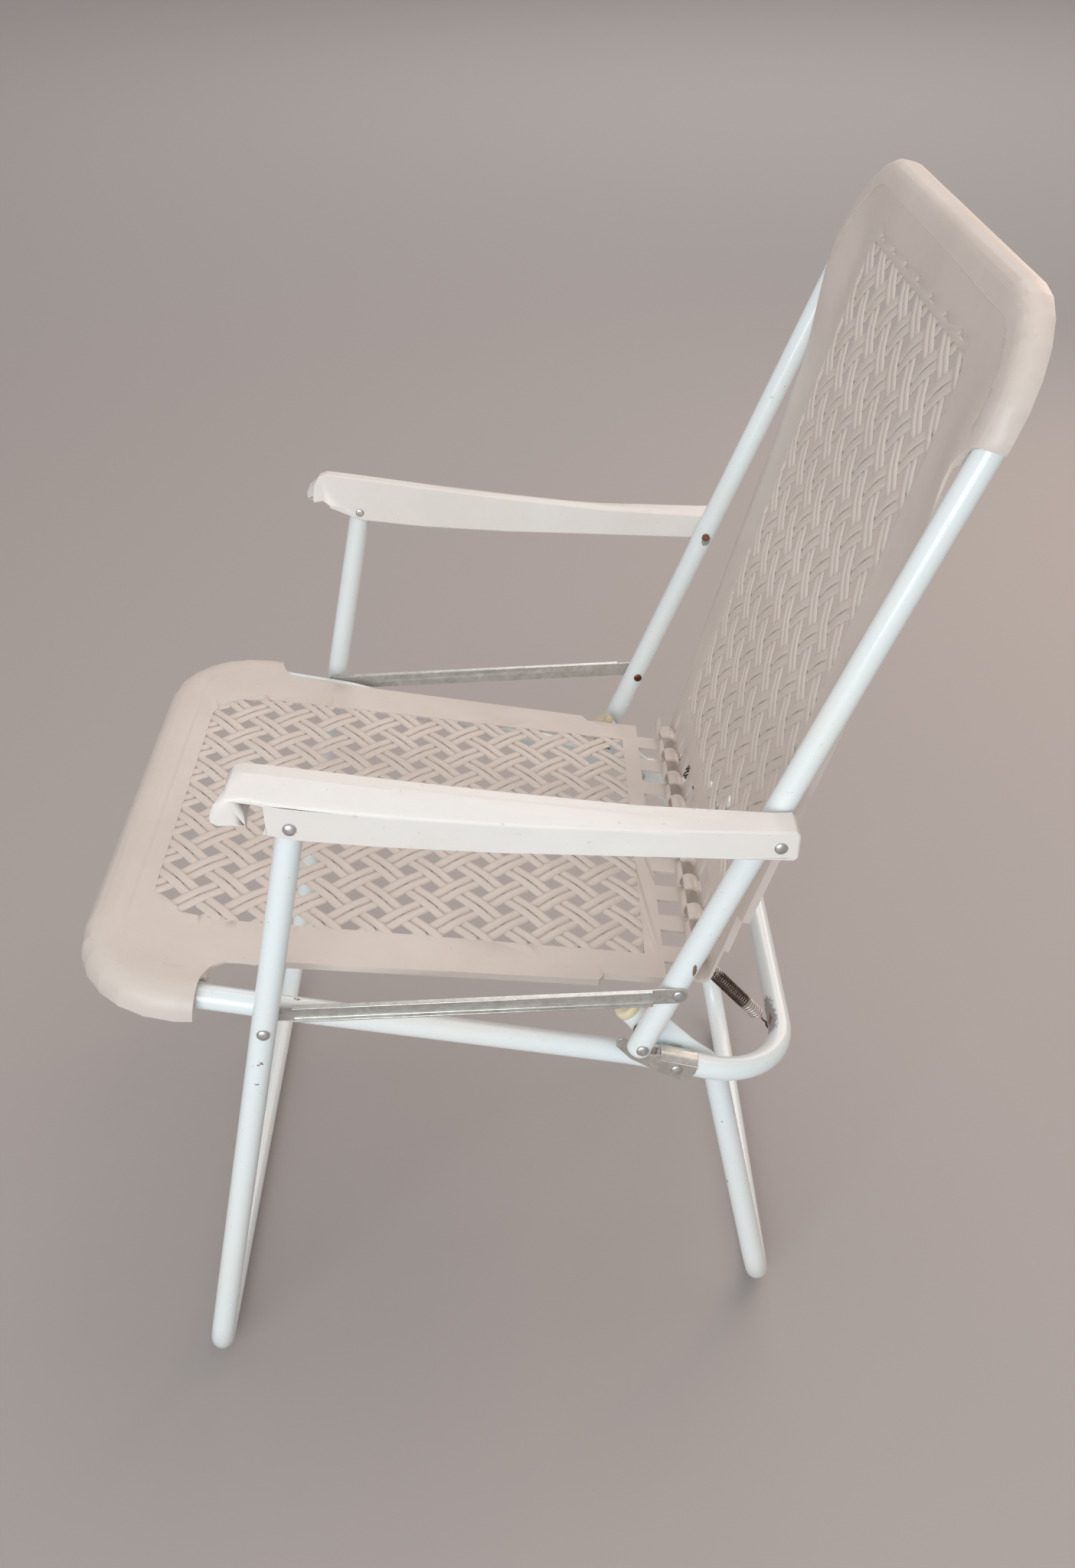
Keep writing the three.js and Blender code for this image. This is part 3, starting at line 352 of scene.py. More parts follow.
# Armrests: whiter plastic with rubbed streaks along their length
armLook = {"clean": (0.81, 0.79, 0.765), "wearAndHighlight": (0.74, 0.69, 0.65), "scratch": (0.48, 0.46, 0.44)}


def armPlastic(name):
    material, tree, shader, place = newFinish(name, Subsurface_Weight=0.04, Subsurface_Scale=0.003)
    film = useGroup(tree, "film", place, Patch=4.0, Speck=1600.0)
    stretched = put(tree, "ShaderNodeMapping", Vector=place, Scale=(0.12, 1.0, 1.0)).outputs[0]
    streaks = ramp(tree, noise(tree, stretched, 260.0, 5.0, 0.7), 0.55, 0.75)
    colour = blendColour(tree, film.outputs["Film"], armLook["clean"], armLook["wearAndHighlight"])
    colour = blendColour(tree, maths(tree, "MULTIPLY", streaks, 0.35), colour, armLook["wearAndHighlight"])
    colour = speckle(tree, film, 0.5, colour, armLook["scratch"])
    tree.links.new(colour, shader.inputs["Base Color"])
    tree.links.new(ramp(tree, streaks, 0.0, 1.0, 0.3, 0.5), shader.inputs["Roughness"])
    bumpTo(tree, shader, maths(tree, "MULTIPLY", film.outputs["Grain"], 0.2), 0.25, 0.0003)
    return material


# Galvanised sheet, worn rivets, rust and spring wire
metalLooks = {
    "galvanised": {
        "bright": (0.66, 0.65, 0.62), "dull": (0.50, 0.49, 0.455), "stain": (0.28, 0.19, 0.11),
        "metal": 0.85, "rough": (0.3, 0.45), "crystals": 240.0, "stains": (0.66, 0.82), "depth": 0.0001,
    },
    "rivetSteel": {
        "bright": (0.66, 0.66, 0.65), "dull": (0.42, 0.42, 0.42), "stain": (0.2, 0.14, 0.1),
        "metal": 0.9, "rough": (0.3, 0.45), "crystals": 500.0, "stains": (0.72, 0.88), "depth": 0.0002,
        "wearAndHighlight": (0.15, 0.06, 0.035),
    },
    "rustedSteel": {
        "bright": (0.22, 0.09, 0.045), "dull": (0.09, 0.035, 0.02), "stain": (0.33, 0.16, 0.07),
        "metal": 0.1, "rough": (0.75, 0.95), "crystals": 900.0, "stains": (0.5, 0.7), "depth": 0.0006,
    },
    # Spring wire: the light mark colour is bright steel painted round both ends of each spring, partly bare
    # wire and partly a painted highlight
    "springWire": {
        "bright": (0.13, 0.085, 0.07), "dull": (0.05, 0.03, 0.026), "stain": (0.26, 0.14, 0.1),
        "metal": 0.75, "rough": (0.25, 0.5), "crystals": 1200.0, "stains": (0.58, 0.72), "depth": 0.0002,
        "wearAndHighlight": (0.66, 0.6, 0.56),
    },
}


def metalFinish(name, look, wearAndHighlight=()):
    material, tree, shader, place = newFinish(name)
    crystals = put(tree, "ShaderNodeTexVoronoi", Vector=place, Scale=look["crystals"]).outputs["Color"]
    shade = put(tree, "ShaderNodeSeparateColor", i0=crystals).outputs[0]
    cloud = noise(tree, place, 60.0, 5.0, 0.6)
    tone = maths(tree, "MULTIPLY_ADD", shade, 0.45, maths(tree, "MULTIPLY", cloud, 0.8))
    colour = blendColour(tree, ramp(tree, tone, 0.25, 0.95), look["dull"], look["bright"])
    stain = ramp(tree, noise(tree, place, 130.0, 4.0, 0.65), *look["stains"])
    colour = blendColour(tree, stain, colour, look["stain"])
    # Each mark blends in its look's mark colour: worn rust on the stay rivets, and on the springs light
    # steel that is partly a painted highlight
    for centre, radius in wearAndHighlight:
        mark = useGroup(tree, "mark", place, Centre=centre, Spread=(radius, radius, radius), Ragged=0.9)
        colour = blendColour(tree, mark.outputs[0], colour, look["wearAndHighlight"])
    tree.links.new(colour, shader.inputs["Base Color"])
    metal = ramp(tree, stain, 0.0, 1.0, look["metal"], look["metal"] * 0.3)
    tree.links.new(metal, shader.inputs["Metallic"])
    rough = ramp(tree, maths(tree, "ADD", cloud, stain), 0.3, 1.1, *look["rough"])
    tree.links.new(rough, shader.inputs["Roughness"])
    bumpTo(tree, shader, maths(tree, "ADD", noise(tree, place, 1500.0, 3.0), stain), 0.4, look["depth"])
    return material


plugLook = {"clean": (0.76, 0.69, 0.52), "yellowed": (0.62, 0.52, 0.34), "dirt": (0.28, 0.22, 0.15)}


def plugPlastic(name):
    material, tree, shader, place = newFinish(name, Subsurface_Weight=0.08, Subsurface_Scale=0.003)
    film = useGroup(tree, "film", place, Patch=60.0, Speck=1500.0)
    colour = blendColour(tree, film.outputs["Film"], plugLook["clean"], plugLook["yellowed"])
    colour = speckle(tree, film, 0.7, colour, plugLook["dirt"])
    tree.links.new(colour, shader.inputs["Base Color"])
    tree.links.new(ramp(tree, film.outputs["Film"], 0.0, 1.0, 0.4, 0.62), shader.inputs["Roughness"])
    bumpTo(tree, shader, film.outputs["Grain"], 0.3, 0.0003)
    return material


# A mark has its centre, how far it spreads in metres and how ragged its edge is
finishes = {
    "seatTube": framePaint(
        "seatTubePaint",
        rustMarks=[
            (spot((79.7, 316), -152), (0.004, 0.009, 0.004), 0.9),
            (spot((-30, 348), -228), (0.012, 0.006, 0.005), 1.0),
        ],
        sootMarks=[
            (spot((81, 314), -150), (0.008, 0.03, 0.008), 1.1),
            (spot((81, 314), 150), (0.008, 0.028, 0.008), 1.1),
        ],
    ),
    "backTube": framePaint(
        "backTubePaint",
        rustMarks=[
            (spot((-1, 459), -261), (0.0022, 0.006, 0.0085), 0.5),
            (spot((22, 560), -259), (0.0014, 0.004, 0.004), 0.9),
        ],
        sootMarks=[(spot((52, 590), 240), (0.006, 0.004, 0.006), 0.8)],
        chipLevel=0.75,
    ),
    "frontLegTube": framePaint(
        "frontLegPaint", rustMarks=[(spot("frontLeg", -262), (0.006, 0.005, 0.006), 1.0)]
    ),
    "rearLegTube": framePaint(
        "rearLegPaint", rustMarks=[(spot("rearLeg", -204), (0.006, 0.004, 0.007), 1.2)], chipLevel=0.725
    ),
    "seatPlastic": panelPlastic("seatPlastic", [(spot((-440, 436), -268), (0.012, 0.004, 0.002), 1.3)]),
    "backPlastic": panelPlastic("backPlastic", [(spot((184, 905), -262), (0.002, 0.004, 0.045), 1.3)]),
    "armrest": armPlastic("armrestPlastic"),
    "galvanised": metalFinish("galvanisedSheet", metalLooks["galvanised"]),
    "rivet": metalFinish("rivetSteel", metalLooks["rivetSteel"]),
    "stayRivet": metalFinish(
        "stayRivetSteel", metalLooks["rivetSteel"],
        wearAndHighlight=[(spot("stayRear", y), 0.008) for y in (239, -239)],
    ),
    "rust": metalFinish("rustedSteel", metalLooks["rustedSteel"]),
    # Light steel is painted round both ends of each spring, partly bare wire and partly a painted highlight
    "spring": metalFinish(
        "springWire", metalLooks["springWire"],
        wearAndHighlight=[(spot(place, y), 0.017) for place in ((66, 327), (24, 384)) for y in (156, -156)],
    ),
    "plug": plugPlastic("plugPlastic"),
}
print("finishes are mixed")


# From a bmesh to a finished piece on its body
def finishPiece(bm, name, body, replaced, finish, sharpAngle=40):
    for edge in bm.edges:
        edge.smooth = len(edge.link_faces) != 2 or edge.calc_face_angle(0) < math.radians(sharpAngle)
    for face in bm.faces:
        face.smooth = True
    piece = meshObject(name, bm)
    piece.data.materials.append(finishes[finish])
    bpy.context.scene.collection.objects.link(piece)
    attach(piece, body)
    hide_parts(*replaced)
    return piece


def addBevel(piece, width, segments=2, angle=35):
    bevel = piece.modifiers.new("softEdges", "BEVEL")
    bevel.width = width
    bevel.segments = segments
    bevel.limit_method = "ANGLE"
    bevel.angle_limit = math.radians(angle)
    bevel.use_clamp_overlap = True
    bevel.miter_outer = "MITER_ARC"


cadMerge = {"distance": 0.02, "flatAngle": 0.6}


def cadCopy(node, dissolve=True):
    bm = bmesh.new()
    bm.from_mesh(cadNodes[node].data)
    bmesh.ops.remove_doubles(bm, verts=bm.verts, dist=cadMerge["distance"] * mm)
    if dissolve:
        flat = math.radians(cadMerge["flatAngle"])
        bmesh.ops.dissolve_limit(bm, angle_limit=flat, verts=bm.verts, edges=bm.edges)
    return bm


# Cuts every face at a plane, so that the shape can bend there
def sliceAt(bm, place, normal):
    parts = [*bm.verts, *bm.edges, *bm.faces]
    bmesh.ops.bisect_plane(bm, geom=parts, plane_co=place, plane_no=normal, dist=hair)


def edgesAndVerts(geometry):
    kinds = (bmesh.types.BMEdge, bmesh.types.BMVert)
    return [[part for part in geometry if isinstance(part, kind)] for kind in kinds]


# Tube sizes and how far each frame stands from the middle of the chair
tubes = {
    "radius": 10, "sides": 32, "stepAngle": 7.5,
    "backOffset": 250, "legOffset": 275.4, "railOffset": 226.4, "rearLegOffset": 205.5,
}


# A bent tube: a ring is pushed along the straights and spun round the bends
def bentTube(corners):
    bm = bmesh.new()
    here = corners[0][0].copy()
    way = (corners[1][0] - here).normalized()
    facing = Matrix.Translation(here) @ way.to_track_quat("Z", "Y").to_matrix().to_4x4()
    bmesh.ops.create_circle(
        bm, cap_ends=True, segments=tubes["sides"], radius=tubes["radius"] * mm, matrix=facing
    )
    ring, ringVerts = list(bm.edges), list(bm.verts)
    for index in range(1, len(corners)):
        point, bend = corners[index]
        after = corners[min(index + 1, len(corners) - 1)][0]
        nextWay = (after - point).normalized() if index < len(corners) - 1 else way
        turn = way.angle(nextWay) if bend else 0
        cut = bend * mm * math.tan(turn / 2)
        ring, ringVerts = edgesAndVerts(bmesh.ops.extrude_edge_only(bm, edges=ring)["geom"])
        bmesh.ops.translate(bm, verts=ringVerts, vec=point - way * cut - here)
        here = point - way * cut
        if turn:
            axis = way.cross(nextWay).normalized()
            centre = here + axis.cross(way) * bend * mm
            steps = max(2, round(math.degrees(turn) / tubes["stepAngle"]))
            spun = bmesh.ops.spin(
                bm, geom=ring + ringVerts, cent=centre, axis=axis, dvec=(0, 0, 0), angle=turn,
                steps=steps, use_merge=False, use_duplicate=False,
            )
            ring, ringVerts = edgesAndVerts(spun["geom_last"])
            here = centre + Matrix.Rotation(turn, 3, axis) @ (here - centre)
        way = nextWay
    bmesh.ops.contextual_create(bm, geom=ring)
    bmesh.ops.recalc_face_normals(bm, faces=bm.faces)
    return bm


# Changes a tube ring by ring, in the order in which the rings were pushed
def eachRing(bm, change):
    verts, sides = list(bm.verts), tubes["sides"]
    rings = [verts[start:start + sides] for start in range(0, len(verts), sides)]
    for index, ring in enumerate(rings):
        centre = sum((vert.co for vert in ring), Vector()) / sides
        change(index, len(rings), ring, centre)


seatTube = {
    "seamY": 40, "seamGap": 0.3, "rearBend": 75, "frontBend": 65,
    "splay": (-44, 345.94), "splayEnd": (-312, 418.55), "gentle": 150,
}


def makeSeatTube(look):
    def half(sign):
        return [
            (spot("seatRear", look["seamY"] + sign * look["seamGap"] / 2), 0),
            (spot("seatRear", sign * tubes["railOffset"]), look["rearBend"]),
            (spot(look["splay"], sign * tubes["railOffset"]), look["gentle"]),
            (spot(look["splayEnd"], sign * tubes["backOffset"]), look["gentle"]),
            (spot("seatFront", sign * tubes["backOffset"]), look["frontBend"]),
        ]
    bm = bentTube([*half(1), *reversed(half(-1))])
    finishPiece(bm, "seatTube", "seat_base", ["seat_frame"], "seatTube")


# Each end step is a distance from the end and a share of the tube's radius there
backTube = {
    "bend": 70, "below": 12, "sharpAngle": 60,
    "endSteps": [(0, 0.3), (0.5, 0.55), (1.6, 0.78), (3.4, 0.92), (6, 0.985), (9, 1)],
}


def makeBackTube(look):
    down = heading("backTop", "backLower")
    reach = (spot("backLower") - spot("backTop")).length + look["below"] * mm

    def half(sign):
        top = spot("backTop", sign * tubes["backOffset"])
        foot = [(top + down * (reach - step * mm), 0) for step, share in look["endSteps"]]
        return [*foot, (top, look["bend"])]
    bm = bentTube([*half(1), *reversed(half(-1))])

    def roundEnd(index, count, ring, centre):
        fromEnd = min(index, count - 1 - index)
        if fromEnd < len(look["endSteps"]):
            share = look["endSteps"][fromEnd][1]
            for vert in ring:
                vert.co = centre + (vert.co - centre) * share
    eachRing(bm, roundEnd)
    finishPiece(
        bm, "backTube", "back_unit", ["back_frame"], "backTube", look["sharpAngle"]
    )


legTubes = {
    "floorBend": 65, "topLength": 10, "knee": (27, 309), "kneeBend": 40, "kneeRings": (78, 70, 62, 54, 48),
    "shoulder": (0, 333), "shoulderBend": 30, "shoulderShares": (0.25, 0.4, 0.55, 0.7),
    "pressedOffset": 210.1, "armOffset": 224, "jogStart": 32, "jogEnd": 48.5, "jogBend": 15,
    "armLength": 14, "pressedNear": 24, "pressedFar": 42, "pressedThin": 0.45, "pressedWide": 1.35,
}


def makeFrontLegs(look):
    rise = heading("frontFoot", "armrestFront")

    def half(sign):
        top = spot("armrestFront", sign * tubes["legOffset"]) + rise * look["topLength"] * mm
        return [(top, 0), (spot("frontFoot", sign * tubes["legOffset"]), look["floorBend"])]
    bm = bentTube([*half(1), *reversed(half(-1))])
    finishPiece(bm, "frontLegTube", "front_legs", ["front_leg_frame"], "frontLegTube")


def makeRearLegs(look):
    arm = heading("rearLeg", "backLower")
    legWay = (spot(look["knee"]) - spot("rearFoot")).normalized()

    def half(sign):
        knee = spot(look["knee"], sign * tubes["rearLegOffset"])
        foot = spot("rearFoot", sign * tubes["rearLegOffset"])
        shoulder = spot(look["shoulder"], sign * look["pressedOffset"])
        jog = spot("rearLeg", sign * look["pressedOffset"]) + arm * look["jogStart"] * mm
        toJog = jog - shoulder
        return [
            (foot, look["floorBend"]),
            *[(knee - legWay * step * mm, 0) for step in look["kneeRings"]],
            (knee, look["kneeBend"]),
            (shoulder, look["shoulderBend"]),
            *[(shoulder + toJog * share, 0) for share in look["shoulderShares"]],
            (jog, look["jogBend"]),
            (spot("rearLeg", sign * look["armOffset"]) + arm * look["jogEnd"] * mm, look["jogBend"]),
            (spot("backLower", sign * look["armOffset"]) + arm * look["armLength"] * mm, 0),
        ]
    bm = bentTube([*reversed(half(1)), *half(-1)])
    pin = spot("rearLeg")

    def press(index, count, ring, centre):
        far = math.hypot(centre.x - pin.x, centre.z - pin.z) / mm
        amount = 1 - smooth(far, look["pressedNear"], look["pressedFar"])
        thin = 1 + (look["pressedThin"] - 1) * amount
        wide = 1 + (look["pressedWide"] - 1) * amount
        for vert in ring:
            off = vert.co - centre
            vert.co = centre + Vector((off.x * wide, off.y * thin, off.z * wide))
    eachRing(bm, press)
    finishPiece(bm, "rearLegTube", "rear_legs", ["rear_leg_frame"], "rearLegTube")


makeSeatTube(seatTube)
makeBackTube(backTube)
makeFrontLegs(legTubes)
makeRearLegs(legTubes)
print("tubes are bent")


# Turned pieces: a profile of radius and height spun round Y, then placed
def turned(profile, steps):
    bm = bmesh.new()
    verts = [bm.verts.new((radius * mm, height * mm, 0)) for radius, height in profile]
    edges = [bm.edges.new(pair) for pair in zip(verts, verts[1:])]
    bmesh.ops.spin(
        bm, geom=verts + edges, cent=(0, 0, 0), axis=(0, 1, 0), dvec=(0, 0, 0), angle=2 * math.pi,
        steps=steps, use_merge=True, use_duplicate=False,
    )
    bmesh.ops.remove_doubles(bm, verts=bm.verts, dist=hair)
    bmesh.ops.recalc_face_normals(bm, faces=bm.faces)
    return bm


# Radii and heights of a rivet, whose face and inner end are distances from the middle of the chair
rivetShape = {
    "head": 5.0, "headFootShare": 0.97, "rim": 0.35, "domeSteps": 6, "sides": 28, "shank": 2.6,
    "tail": 4, "tailTopShare": 0.85, "tailRise": 1, "tailRim": 0.5, "hollowTop": 1.5, "hollowFoot": 1.3,
    "sharpAngle": 50,
}
rivets = {
    "rearLegRivet": {
        "node": "rear_leg_rivet", "pin": "rearLeg", "body": "seat_base",
        "face": 237.9, "inner": 205.0, "rise": 1.8, "tail": True,
    },
    "frontLegRivet": {
        "node": "front_leg_rivet", "pin": "frontLeg", "body": "seat_base",
        "face": 285.5, "inner": 239.8, "rise": 2.3, "tail": True,
    },
    "stayRivet": {
        "node": "stay_rivet", "pin": "stayRear", "body": "stay_pair", "finish": "stayRivet",
        "face": 262.1, "inner": 239.8, "rise": 1.7, "tail": True,
    },
    "backLowerRivet": {
        "node": "back_lower_rivet", "pin": "backLower", "body": "back_unit",
        "face": 260.1, "inner": 240.0, "rise": 2.0, "tail": False,
    },
    "armrestFrontRivet": {
        "node": "armrest_front_rivet", "pin": "armrestFront", "body": "armrest_pair",
        "face": 287.8, "inner": 262.1, "rise": 2.5, "tail": True,
    },
    "armrestRearRivet": {
        "node": "armrest_rear_rivet", "pin": "armrestRear", "body": "armrest_pair",
        "face": 287.8, "inner": 260.6, "rise": 2.5, "tail": False,
    },
}


def rivetProfile(rivet, shape):
    face, inner = rivet["face"], rivet["inner"]
    dome = []
    for step in range(shape["domeSteps"] + 1):
        angle = math.pi / 2 * (1 - step / shape["domeSteps"])
        height = face + shape["rim"] + (rivet["rise"] - shape["rim"]) * math.sin(angle)
        dome.append((shape["head"] * math.cos(angle), height))
    foot = [(shape["head"] * shape["headFootShare"], face), (shape["shank"], face), (shape["shank"], inner)]
    if rivet["tail"]:
        end = inner - shape["tailRise"]
        foot += [(shape["tail"], inner), (shape["tail"], inner - shape["tailRim"])]
        foot += [(shape["tail"] * shape["tailTopShare"], end), (shape["hollowTop"], end)]
        foot += [(shape["hollowFoot"], inner)]
    return [(0, dome[0][1]), *dome[1:], *foot, (0, inner)]


def makeRivet(name, rivet, shape):
    for hand, sign in hands.items():
        bm = turned(rivetProfile(rivet, shape), shape["sides"])
        if sign < 0:
            bmesh.ops.scale(bm, vec=(1, -1, 1), verts=bm.verts)
            bmesh.ops.reverse_faces(bm, faces=bm.faces)
        bmesh.ops.translate(bm, verts=bm.verts, vec=spot(rivet["pin"]))
        finishPiece(
            bm, f"{name}.{hand}", rivet["body"], [f"{rivet['node']}_{hand}"],
            rivet.get("finish", "rivet"), shape["sharpAngle"],
        )


for rivetName, rivet in rivets.items():
    makeRivet(rivetName, rivet, rivetShape)
print("rivets are headed")

plugShape = {
    "cap": 10.9, "thick": 7, "round": 2.2, "steps": 5, "sides": 36, "stem": 7.5, "stemLength": 8,
    "gap": 0.2, "lipInset": 0.5, "lipRise": 0.7, "dishRim": 6.5, "dishFoot": 5.6, "dishDrop": 0.7,
    "dishMiddle": 0.9, "sharpAngle": 50,
}


def plugProfile(shape):
    cap, thick, corner = shape["cap"], shape["thick"], shape["round"]
    stem = [(0, -shape["stemLength"]), (shape["stem"], -shape["stemLength"]), (shape["stem"], shape["gap"])]
    rim = [(cap - shape["lipInset"], shape["gap"]), (cap, shape["lipRise"])]
    for step in range(shape["steps"] + 1):
        angle = math.pi / 2 * step / shape["steps"]
        rim.append((cap - corner * (1 - math.cos(angle)), thick - corner * (1 - math.sin(angle))))
    dish = [(shape["dishRim"], thick), (shape["dishFoot"], thick - shape["dishDrop"])]
    return [*stem, *rim, *dish, (0, thick - shape["dishMiddle"])]


def makePlug(shape):
    arm = heading("rearLeg", "backLower")
    turn = arm.to_track_quat("Y", "Z").to_matrix().to_4x4()
    for hand, sign in hands.items():
        bm = turned(plugProfile(shape), shape["sides"])
        place = spot("backLower", sign * legTubes["armOffset"]) + arm * legTubes["armLength"] * mm
        bmesh.ops.transform(bm, matrix=Matrix.Translation(place) @ turn, verts=bm.verts)
        finishPiece(
            bm, f"legPlug.{hand}", "rear_legs", [f"leg_plug_{hand}"], "plug",
            shape["sharpAngle"],
        )


makePlug(plugShape)
print("leg plugs are turned")


def addLine(curve, points):
    spline = curve.splines.new("POLY")
    spline.points.add(len(points) - 1)
    for target, point in zip(spline.points, points):
        target.co = (*point, 1)
    return spline


# Springs: one wire each, closer wound in the middle, with a hook round the crossbar
springShape = {
    "wire": 0.8, "coil": 5.3, "curls": 26, "perCurl": 14, "stretch": 0.06, "sharpAngle": 60,
    "hookY": 150.6, "hookRadius": 11.1, "hookReach": 11.2, "hookFrom": 262, "hookTurn": 82,
    "hookSteps": 8, "hookLength": 17, "leadShares": (0.2, 0.45, 0.7, 0.88), "leadSag": 2.5,
    "top": (19.5, 389.5), "topY": 168, "topLength": 4, "topEnd": 2,
}


def springLine(shape):
    bar = spot("seatRear", shape["hookY"])
    bottom = bar - Vector((shape["hookReach"], 0, 0)) * mm
    top = spot(shape["top"], shape["topY"])
    axis = (top - bottom).normalized()
    sideways = Vector((0, 1, 0)).cross(axis).normalized()
    other = axis.cross(sideways)
    points = []
    for step in range(shape["hookSteps"] + 1):
        angle = math.radians(shape["hookFrom"] - shape["hookTurn"] * step / shape["hookSteps"])
        points.append(bar + Vector((math.cos(angle), 0, math.sin(angle))) * shape["hookRadius"] * mm)
    first = bottom + axis * shape["hookLength"] * mm
    length = (top - bottom).length - (shape["hookLength"] + shape["topLength"]) * mm
    start = first + sideways * shape["coil"] * mm
    for share in shape["leadShares"]:
        sag = -sideways * math.sin(math.pi * share) * shape["leadSag"] * mm
        points.append(bottom.lerp(start, share) + sag)
    total = shape["curls"] * shape["perCurl"]
    for step in range(total + 1):
        share = step / total
        # the curls stand wider apart towards both ends
        run = share + shape["stretch"] * math.sin(2 * math.pi * share) / (2 * math.pi)
        angle = 2 * math.pi * step / shape["perCurl"]
        out = sideways * math.cos(angle) + other * math.sin(angle)
        points.append(first + axis * length * run + out * shape["coil"] * mm)
    return [*points, top - axis * shape["topEnd"] * mm, top]


def makeSprings(shape):
    for hand, sign in hands.items():
        curve = bpy.data.curves.new("springWireLine", "CURVE")
        curve.dimensions = "3D"
        curve.bevel_depth = shape["wire"] * mm
        curve.bevel_resolution = 2
        curve.use_fill_caps = True
        addLine(curve, [(point.x, point.y * sign, point.z) for point in springLine(shape)])
        line = bpy.data.objects.new("springWireLine", curve)
        bpy.context.scene.collection.objects.link(line)
        bm = bmesh.new()
        bm.from_mesh(line.to_mesh())
        bpy.data.objects.remove(line)
        bmesh.ops.recalc_face_normals(bm, faces=bm.faces)
        finishPiece(
            bm, f"coilSpring.{hand}", "seat_base", [f"spring_{hand}"], "spring",
            shape["sharpAngle"],
        )


makeSprings(springShape)
print("springs are wound")

# Armrests: the CAD channel, its top drawn up to a crest on the inner side and lowered to the rear
armTop = {
    "cadTop": [
        (-346, 627), (-342, 636), (-334, 641.5), (-322, 642), (-292, 637.5), (-220, 628),
        (-146, 622), (-50, 620), (60.5, 620), (63.5, 616),
    ],
    "cadBottom": [
        (-346, 622), (-341, 619), (-322.5, 619), (-321.5, 614.5), (-292, 606.5), (-230, 599.5),
        (-146, 593), (-60, 589), (60.5, 583), (63.5, 586),
    ],
    "outerRise": [
        (-346, 0), (-322, 0), (-292, -3), (-220, -2.5), (-146, -3.5), (-50, -8), (45, -12), (63.5, -12),
    ],
    "innerRise": [
        (-346, 10), (-322, 14), (-292, 14), (-220, 12), (-146, 7), (-50, -4), (45, -12), (63.5, -12),
    ],
    "crestRise": [
        (-346, 9), (-322, 13), (-292, 13), (-220, 11), (-146, 6.5), (-50, -4), (45, -12), (63.5, -12),
    ],
    "noseLift": [(-346, 6), (-341, 8), (-323, 9), (-321, 6), (-292, 1), (-230, 0), (63.5, 0)],
    "innerY": 262.3, "crestY": 275, "outerY": 288.5, "noseEnd": -322, "noseShort": 0.38,
    "riseShares": (0.42, 0.95), "liftShares": (0, 0.45),
    "cuts": [266, 270.5, 275, 279.5, 284], "slices": [-330, -306, -256, -183, -98, -20, 20, 45],
    "edge": 1.3, "segments": 3, "edgeAngle": 40,
}


def raiseArm(vert, look):
    place = (vert.co - drawingShift) / mm
    x, y = place.x, abs(place.y)
    top, bottom = along(look["cadTop"], x), along(look["cadBottom"], x)
    height = (place.z - bottom) / max(top - bottom, 1)
    if y < look["crestY"]:
        edge, share = "innerRise", (look["crestY"] - y) / (look["crestY"] - look["innerY"])
    else:
        edge, share = "outerRise", (y - look["crestY"]) / (look["outerY"] - look["crestY"])
    rise = along(look["crestRise"], x) * (1 - share) + along(look[edge], x) * share
    inner = 1 - smooth(y, look["crestY"], look["outerY"])
    lift = along(look["noseLift"], x) * inner * (1 - smooth(height, *look["liftShares"]))
    if x < look["noseEnd"]:
        vert.co.x += (look["noseEnd"] - x) * look["noseShort"] * inner * mm
    vert.co.z += (rise * smooth(height, *look["riseShares"]) + lift) * mm


def makeArmrests(look):
    for hand, sign in hands.items():
        bm = cadCopy(f"armrest_{hand}", dissolve=False)
        for y in look["cuts"]:
            sliceAt(bm, (0, sign * y * mm, 0), (0, 1, 0))
        for x in look["slices"]:
            sliceAt(bm, spot((x, 0)), (1, 0, 0))
        for vert in bm.verts:
            raiseArm(vert, look)
        bmesh.ops.recalc_face_normals(bm, faces=bm.faces)
        piece = finishPiece(
            bm, f"armrest.{hand}", "armrest_pair", [f"armrest_{hand}"], "armrest"
        )
        addBevel(piece, look["edge"] * mm, look["segments"], look["edgeAngle"])


makeArmrests(armTop)
print("armrests are moulded")

# Sheet pieces that keep the CAD shape and get their soft edges here
sheet = {"slot": "galvanised_sheet", "finish": "galvanised"}
rusty = {"slot": "rusted_metal", "finish": "rust"}
shaped = {
    "stay": {"node": "stay", "body": "stay_pair", "edge": 0.45, **sheet},
    "bracket": {"node": "bracket", "body": "seat_base", "edge": 0.3, **sheet},
    "rearLegWasher": {"node": "rear_leg_washer", "body": "seat_base", "edge": 0.2, **sheet},
    "frontLegWasher": {"node": "front_leg_washer", "body": "seat_base", "edge": 0.3, **sheet},
    "rivetTail": {"node": "armrest_rivet_tail", "body": "back_unit", "edge": 0.3, **rusty},
    "armSpacer": {"node": "back_lower_spacer", "body": "rear_legs", "edge": 0.3, **rusty},
}
for pieceName, look in shaped.items():
    for hand in hands:
        node = f"{look['node']}_{hand}"
        piece = finishPiece(
            cadCopy(node), f"{pieceName}.{hand}", look["body"], [node], look["finish"]
        )
        addBevel(piece, look["edge"] * mm)
print("stays, brackets and washers have their edges")

# Panels: the CAD shell with its lattice field cut out, and a woven field of paired strands in it
weave = {
    "plateTop": 13, "plateThick": 2.4, "hingeRise": 20, "width": 8.4, "thick": 2.7, "apart": 4.75,
    "lift": 0.95, "perCrossing": 5, "fewest": 6, "shortest": 9, "intoBorder": 3.5,
    "calmEnd": 8, "taperEnd": 5, "endShare": 0.62, "cutterFrom": 2, "cutterHeight": 30,
    "sectionShares": [(0.5, 0), (0.4, 0.33), (0.16, 0.5), (-0.16, 0.5), (-0.4, 0.33)],
    "edge": 0.55, "edgeAngle": 50, "sharpAngle": 42,
}
